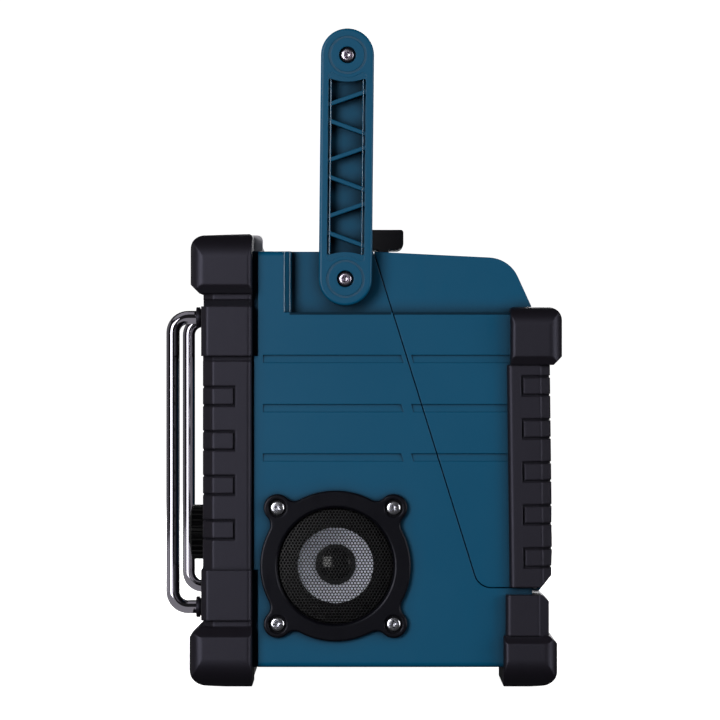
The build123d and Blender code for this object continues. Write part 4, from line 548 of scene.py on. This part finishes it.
def make_window_trim(name, side):
    vertices, faces = [], []
    for boss, toward in ((0, 1), (ARM_LENGTH, -1)):
        add_window_end(vertices, faces, side, boss, toward)
    for edge in (-1, 1):
        across = edge * (WINDOW_HALF - 0.00105)
        ends = [on_arm(across, along) for along in (0.01, ARM_LENGTH - 0.01)]
        add_bead(vertices, faces, side, *ends, (0.0005, 0.001), ARM_FACE - 0.0021)
    for boss in (0, ARM_LENGTH):
        add_groove_floor(vertices, faces, side, boss)
    trim = new_object(name, vertices, faces)
    edges = trim.modifiers.new("moulded_edges", "EDGE_SPLIT")
    edges.split_angle = SHARP_TURN
    trim.data.materials.append(trim_teal.material)
    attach(trim, "handle")


trim_teal = moulded(
    "trim_teal", colour(0, 71, 102), colour(2, 77, 109), rough=0.24, level=0.75,
    grain_depth=0.000001, edge=0.00002, reach=0.001,
)
for word, side in (("right", 1), ("left", -1)):
    make_window_trim(f"window_trim_{word}", side)


# Recess beads. Two thin raised lines run up the bevel in front of each handle recess. They
# belong to the cabinet's moulding, and are fitted over it here.

BEAD_FOOT, BEAD_TOP = 0.1714, 0.1989

for word, side in (("right", 1), ("left", -1)):
    corners, walls = [], []
    for across, height in ((-0.0358, 0.12365), (-0.0333, 0.1208)):
        start, stop = (across, BEAD_FOOT), (across, BEAD_TOP)
        add_bead(corners, walls, side, start, stop, (0.00035, 0.0005), height)
    beads = new_object(f"recess_beads_{word}", corners, walls)
    beads.data.materials.append(trim_teal.material)
    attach(beads, "radio")


# Ledge lines. A thin strip in dark teal runs under each recess's ledge, over the cabinet and on
# over the cover; its dark colour is painted shade under the ledge. Whether the real one is raised
# or sunk isn't known, and a low raised strip stands for it. Each half moves with what it lies on.

LEDGE_LINE_Z = 0.1707

# Dark teal of the painted shade line under the ledge.
ledge_shade_teal = moulded(
    "ledge_shade_teal", colour(0, 30, 46), colour(0, 38, 57), rough=0.6, level=0.1
)
for word, side in (("right", 1), ("left", -1)):
    for owner, body, start, stop in (
        ("cabinet", "radio", -0.0333, 0.0130), ("cover", "cover", 0.0144, 0.0675),
    ):
        corners, walls = [], []
        ends = [(across, LEDGE_LINE_Z) for across in (start, stop)]
        add_bead(corners, walls, side, *ends, (0.0005, 0.00012), FLANK + 0.00001)
        line = new_object(f"ledge_shade_line_{owner}_{word}", corners, walls)
        line.data.materials.append(ledge_shade_teal.material)
        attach(line, body)


# Screws. Bright cross-head screws hold each loudspeaker ring by its four ears. Domed screws
# with a hexagon socket, zinc-plated, pin the handle's arms, one at each end.

RING_POCKET = 0.1256
ARM_POCKET = 0.1241
EAR_REACH = 0.0265
CROSS_REACH, CROSS_HALF = 0.0019, 0.00042
SOCKET_HALF = 0.00155
RECESS_FLOOR_SHARE = 0.55
DRILL_POINT = 0.0002


def cross_recess(turn):
    """Outline of a cross recess: radius in the direction of turn."""
    off = (turn + pi / 4) % (pi / 2) - pi / 4
    return min(CROSS_REACH / cos(off), CROSS_HALF / max(abs(sin(off)), 1e-6))


def hexagon_socket(turn):
    """Outline of a hexagon socket: radius in the direction of turn."""
    return SOCKET_HALF / cos((turn + pi / 6) % (pi / 3) - pi / 6)


def make_screws(name, places, profile, recess, depth, tip):
    """Turned screws along X. profile runs from the crown to the tip as (radius, height) rings."""
    steps = 48
    turns = [2 * pi * i / steps for i in range(steps)]
    vertices, faces = [], []
    crown = profile[0][1]
    rings = [(lambda turn: RECESS_FLOOR_SHARE * recess(turn), crown - depth), (recess, crown)]
    rings += [(lambda turn, radius=radius: radius, height) for radius, height in profile]
    for number, (side, seat, y, z) in enumerate(places):
        twist = 0.7 * number + 0.3
        first = len(vertices)
        for radius, height in rings:
            for turn in turns:
                across = radius(turn) * cos(turn + twist)
                up = radius(turn) * sin(turn + twist)
                vertices.append((side * (seat + height), y + across, z + up))
        floor, point = len(vertices), len(vertices) + 1
        vertices.append((side * (seat + crown - depth - DRILL_POINT), y, z))
        vertices.append((side * (seat + tip), y, z))
        last = first + (len(rings) - 1) * steps
        made = []
        for i in range(steps):
            j = (i + 1) % steps
            made.append((floor, first + i, first + j))
            made.append((point, last + j, last + i))
            for ring in range(len(rings) - 1):
                low = first + ring * steps
                made.append((low + i, low + steps + i, low + steps + j, low + j))
        faces += made if side > 0 else [tuple(reversed(face)) for face in made]
    screws = new_object(name, vertices, faces)
    sharp = screws.modifiers.new("turned_edges", "EDGE_SPLIT")
    sharp.split_angle = SHARP_TURN
    return screws


pan_head = [
    (0.0021, 0.0015), (0.0026, 0.00141), (0.003, 0.0012), (0.0033, 0.00085), (0.0034, 0.0004),
    (0.0034, 0), (0.0016, 0), (0.0016, -0.007),
]
domed_head = [
    (0.0022, 0.0018), (0.0027, 0.0016), (0.0031, 0.00125), (0.00336, 0.0008),
    (0.00345, 0.0003), (0.00345, 0), (0.0024, 0), (0.0024, -0.012),
]

screw_chrome = Finish("screw_chrome", Metallic=1.0, Base_Color=colour(188, 188, 196))
scuffs = screw_chrome.grain(0.0012, 4.0)
screw_chrome.feed(
    Roughness=scuffs * 0.3 + 0.08, Normal=screw_chrome.bump(scuffs, 0.00004),
)
ears = [
    (SPEAKER[0] + across, SPEAKER[1] + up)
    for across in (-EAR_REACH, EAR_REACH) for up in (-EAR_REACH, EAR_REACH)
]
ring_screws = make_screws(
    "ring_screws", [(side, RING_POCKET, *ear) for side in (1, -1) for ear in ears],
    pan_head, cross_recess, depth=0.0011, tip=-0.008,
)
ring_screws.data.materials.append(screw_chrome.material)
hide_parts("speaker_screws")
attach(ring_screws, "radio")

screw_zinc = Finish("screw_zinc", Metallic=1.0, Base_Color=colour(176, 168, 180))
dulled = screw_zinc.grain(0.0009, 3.0)
screw_zinc.feed(Roughness=dulled * 0.25 + 0.16, Normal=screw_zinc.bump(dulled, 0.00003))
for name, end, node, body in (
    ("pivot_bolts", PIVOT, "pivot_screws", "radio"),
    ("grip_bolts", GRIP_END, "grip_screws", "handle"),
):
    bolts = make_screws(
        name, [(side, ARM_POCKET, *end) for side in (1, -1)],
        domed_head, hexagon_socket, depth=0.0013, tip=-0.013,
    )
    bolts.data.materials.append(screw_zinc.material)
    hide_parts(node)
    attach(bolts, body)


# Bright fittings. The hinge pin, the pivots, the latch's spring, the tray's screws, the knob's
# shaft and trim ring and the tube inside the grip are bright metal, most of it zinc-plated steel.

bright = Finish("zinc_plate", Metallic=1.0, Base_Color=colour(170, 170, 174))
bright.feed(Roughness=bright.grain(0.0008, 3.0) * 0.2 + 0.22)
dress(
    bright, "tray_screws", "hinge_pin", "latch_spring", "pivot_pins", "encoder_shaft",
    "knob_trim", "grip_core",
)


# Grip and antenna. The grip is a ribbed rubber sleeve over a metal tube, held between the arms
# by a screw at either end. The antenna is spring wire in a rubber coat, pinned at its root.

grip_black = moulded(
    "grip_rubber", colour(14, 14, 16), colour(22, 22, 24), rough=0.5, level=0.5,
    grain_depth=0.00005,
)
dress(grip_black, "grip_sleeve", "whip_antenna")


# Latch and battery bay. The latch, the tray behind the cover, the battery's terminal shoe and
# the lid of the back-up cells are plain black mouldings, pinned or screwed in place.

part_black = moulded("part_moulding", colour(5, 4, 7), colour(10, 9, 13), rough=0.4, level=0.13)
dress(part_black, "latch", "battery_tray", "backup_lid", "terminal_shoe")


# Tuning knob. A fluted black moulding, glossier than the rest, pushed on to the shaft that
# stands out of the console inside its bright trim ring.

knob_black = moulded("knob_moulding", colour(2, 2, 3), colour(5, 5, 6), rough=0.25, level=0.12)
dress(knob_black, "tuning_knob")


# Front. A silver-grey bezel frames the black console, which carries the display, the sockets,
# ten soft rubber keys and the knob.

silver = moulded(
    "bezel_silver", colour(176, 173, 177), colour(186, 183, 187), rough=0.4, level=0.4
)
dress(silver, "front_bezel")
console_black = moulded(
    "console_moulding", colour(10, 10, 12), colour(18, 18, 20), rough=0.3, level=0.4
)
dress(console_black, "console_panel", "input_jacks")
key_grey = moulded("key_rubber", colour(46, 46, 50), colour(58, 58, 62), rough=0.5, level=0.4)
dress(
    key_grey, "power_button", "source_button", "radio_alarm_button", "buzzer_alarm_button",
    "tone_button", *[f"preset_button_{n}" for n in range(1, 6)],
)


# Key marks. White pad-printed marks on the keys: numbers on the five presets, a power sign, and
# plain signs for source, clock, bell and tone. Each moves with its key.

KEY_FACE = -0.07055
MARK_SCALE = 0.0011
MARK_STROKE = 0.00042
PRINT_DEPTH = 0.00006
PRINT_SUNK = 0.00003
NUMBERS = {
    "1": [[(-0.5, 1.2), (0.2, 2), (0.2, -2)], [(-0.6, -2), (1, -2)]],
    "2": [[(-1, 1.3), (-0.5, 2), (0.5, 2), (1, 1.3), (1, 0.6), (-1, -2), (1.1, -2)]],
    "3": [[(-1, 1.5), (-0.4, 2), (0.5, 2), (1, 1.4), (1, 0.7), (0.3, 0.1)],
          [(0.3, 0.1), (1, -0.5), (1, -1.4), (0.5, -2), (-0.5, -2), (-1, -1.5)]],
    "4": [[(0.5, -2), (0.5, 2), (-1.1, -0.9), (1.2, -0.9)]],
    "5": [[(1, 2), (-0.9, 2), (-1, 0.2), (0.4, 0.4), (1, -0.3), (1, -1.3), (0.4, -2),
           (-1, -1.8)]],
}


def make_print(name, lines, width, face):
    """Printed strokes on a face that looks to the front: each line is a list of (x, z) points."""
    cap_steps = 6
    vertices, faces = [], []
    for line in lines:
        for (x0, z0), (x1, z1) in zip(line, line[1:]):
            bearing = atan2(z1 - z0, x1 - x0)
            rim = []
            for x, z, turn in ((x0, z0, bearing + pi / 2), (x1, z1, bearing - pi / 2)):
                for step in range(cap_steps + 1):
                    a = turn + pi * step / cap_steps
                    rim.append((x + width / 2 * cos(a), z + width / 2 * sin(a)))
            first, count = len(vertices), len(rim)
            for y in (face + PRINT_SUNK, face + PRINT_SUNK - PRINT_DEPTH):
                vertices += [(x, y, z) for x, z in rim]
            faces.append(tuple(range(first + count, first + 2 * count)))
            for i in range(count):
                j = (i + 1) % count
                faces.append((first + i, first + j, first + count + j, first + count + i))
    return new_object(name, vertices, faces, smooth=False)


def arc(x, z, radius, start, stop, steps=14):
    turns = [radians(start + (stop - start) * i / steps) for i in range(steps + 1)]
    return [(x + radius * cos(a), z + radius * sin(a)) for a in turns]


def face_middle(node):
    low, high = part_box(node)
    return (low.x + high.x) / 2, (low.z + high.z) / 2


def print_key(key, lines):
    x, z = face_middle(key)
    placed = [
        [(x + across * MARK_SCALE, z + up * MARK_SCALE) for across, up in line] for line in lines
    ]
    mark = make_print(f"{key}_mark", placed, MARK_STROKE, KEY_FACE)
    mark.data.materials.append(white_print.material)
    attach(mark, f"{key}_cap")


white_print = moulded(
    "white_print", colour(198, 198, 202), colour(214, 214, 218), rough=0.5, level=0.3
)
for number, lines in NUMBERS.items():
    print_key(f"preset_button_{number}", lines)
print_key("power_button", [arc(0, -0.2, 1.8, 125, 415), [(0, 0.2), (0, 2.2)]])
print_key(
    "source_button", [[(-2, 0.8), (2, 0.8), (1, 1.8)], [(2, -0.8), (-2, -0.8), (-1, -1.8)]]
)
print_key("radio_alarm_button", [arc(0, 0, 2, 0, 360, 24), [(0, 1.2), (0, 0), (0.9, -0.4)]])
print_key("buzzer_alarm_button", [
    [(-1.8, -1.2), (-1.2, -0.4), *arc(0, 0.4, 1.2, 180, 0), (1.2, -0.4), (1.8, -1.2),
     (-1.8, -1.2)],
    arc(0, -1.7, 0.35, 180, 360, 6),
])
print_key(
    "tone_button", [[(x, -2), (x, top)] for x, top in ((-2, -1), (-0.7, 0), (0.7, 1), (2, 2))]
)


# Dial marks. A pointer is printed on the knob's face and turns with it. Round the knob the
# console carries a printed scale of ticks, every fifth one longer.

dial = face_middle("tuning_knob")
pointer = make_print(
    "knob_pointer", [[(dial[0], dial[1] + 0.005), (dial[0], dial[1] + 0.0095)]],
    width=0.001, face=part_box("tuning_knob")[0].y,
)
pointer.data.materials.append(white_print.material)
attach(pointer, "dial")

TICKS = 21
FIRST_TICK, SWEEP = 225, 270
TICK_FOOT, TICK_TOP, LONG_TICK_TOP = 0.0162, 0.0178, 0.0192

ticks = []
for step in range(TICKS):
    turn = radians(FIRST_TICK - SWEEP * step / (TICKS - 1))
    ends = (TICK_FOOT, LONG_TICK_TOP if step % 5 == 0 else TICK_TOP)
    ticks.append([(dial[0] + reach * cos(turn), dial[1] + reach * sin(turn)) for reach in ends])
scale = make_print("dial_scale", ticks, width=0.0004, face=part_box("console_panel")[0].y)
scale.data.materials.append(white_print.material)
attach(scale, "radio")


# Display. A reflective liquid crystal module behind a clear window shows the time over the tuned
# frequency, in dark seven-bar figures, with a row of signal bars.

BARS = {"0": "abcdef", "1": "bc", "2": "abged", "4": "fgbc", "7": "abc"}
SPOTS = {
    "a": ((0, 2), (1, 2)), "b": ((1, 2), (1, 1)), "c": ((1, 1), (1, 0)), "d": ((1, 0), (0, 0)),
    "e": ((0, 0), (0, 1)), "f": ((0, 1), (0, 2)), "g": ((0, 1), (1, 1)),
}
DOT_LEVELS = {".": (0.0,), ":": (0.3, 0.7)}
FIGURE_WIDTH = 0.5
FIGURE_PITCH = 0.78
FIGURE_LEAN = 0.04
BAR_GAP = 0.09
DOT_PITCH = 0.16
DOT_BACK, DOT_WIDTH = 0.08, 0.09


def figures(word, left, foot, high):
    """Strokes of seven-bar figures, high tall, starting at left."""
    lines, at = [], left
    for sign in word:
        for level in DOT_LEVELS.get(sign, ()):
            dot = (at - high * DOT_BACK, foot + level * high)
            lines.append([dot, (dot[0] + DOT_WIDTH * high, dot[1])])
        for bar in BARS.get(sign, ""):
            spots = SPOTS[bar]
            ends = []
            for (x, z), (other_x, other_z) in (spots, spots[::-1]):
                x, z = x + (other_x - x) * BAR_GAP, z + (other_z - z) * BAR_GAP
                lean = z * high * FIGURE_LEAN
                ends.append((at + x * high * FIGURE_WIDTH + lean, foot + z * high / 2))
            lines.append(ends)
        at += high * (DOT_PITCH if sign in DOT_LEVELS else FIGURE_PITCH)
    return lines


shown = figures("101.7", left=-0.012, foot=0.1535, high=0.0135)
shown += figures("10:24", left=-0.034, foot=0.1735, high=0.0065)
for i in range(5):
    signal_x = 0.022 + 0.0022 * i
    shown.append([(signal_x, 0.1738), (signal_x, 0.1752 + 0.0011 * i)])
shown.append([(-0.036, 0.1705), (0.036, 0.1705)])
digits = make_print("lcd_figures", shown, width=0.0009, face=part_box("lcd_module")[0].y)
ink = moulded("lcd_ink", colour(22, 26, 24), colour(30, 34, 30), rough=0.4, level=0.3)
digits.data.materials.append(ink.material)
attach(digits, "radio")

glass = Finish("window_glass", Base_Color=(0.01, 0.012, 0.012, 1), Alpha=0.16)
glass.feed(Roughness=glass.grain(0.01) * 0.06 + 0.02)
dress(glass, "lcd_window")
display = moulded("display_film", colour(160, 178, 146), colour(166, 184, 152), rough=0.3)
dress(display, "lcd_module")


# Boards and contacts. The control board and the main board are green solder-masked boards with
# black components soldered on. The bar antenna is a dark ferrite rod, and the battery's contact
# blades are brass.

board = moulded("board_mask", colour(12, 66, 36), colour(20, 80, 44), rough=0.35)
dress(board, "circuit_boards")
dress(part_black, "board_components")
dress(sheet_black, "bar_antenna")
brass = Finish("contact_brass", Metallic=1.0, Base_Color=colour(206, 168, 92))
brass.feed(Roughness=brass.grain(0.002, 3.0) * 0.2 + 0.2)
dress(brass, "terminal_blades")
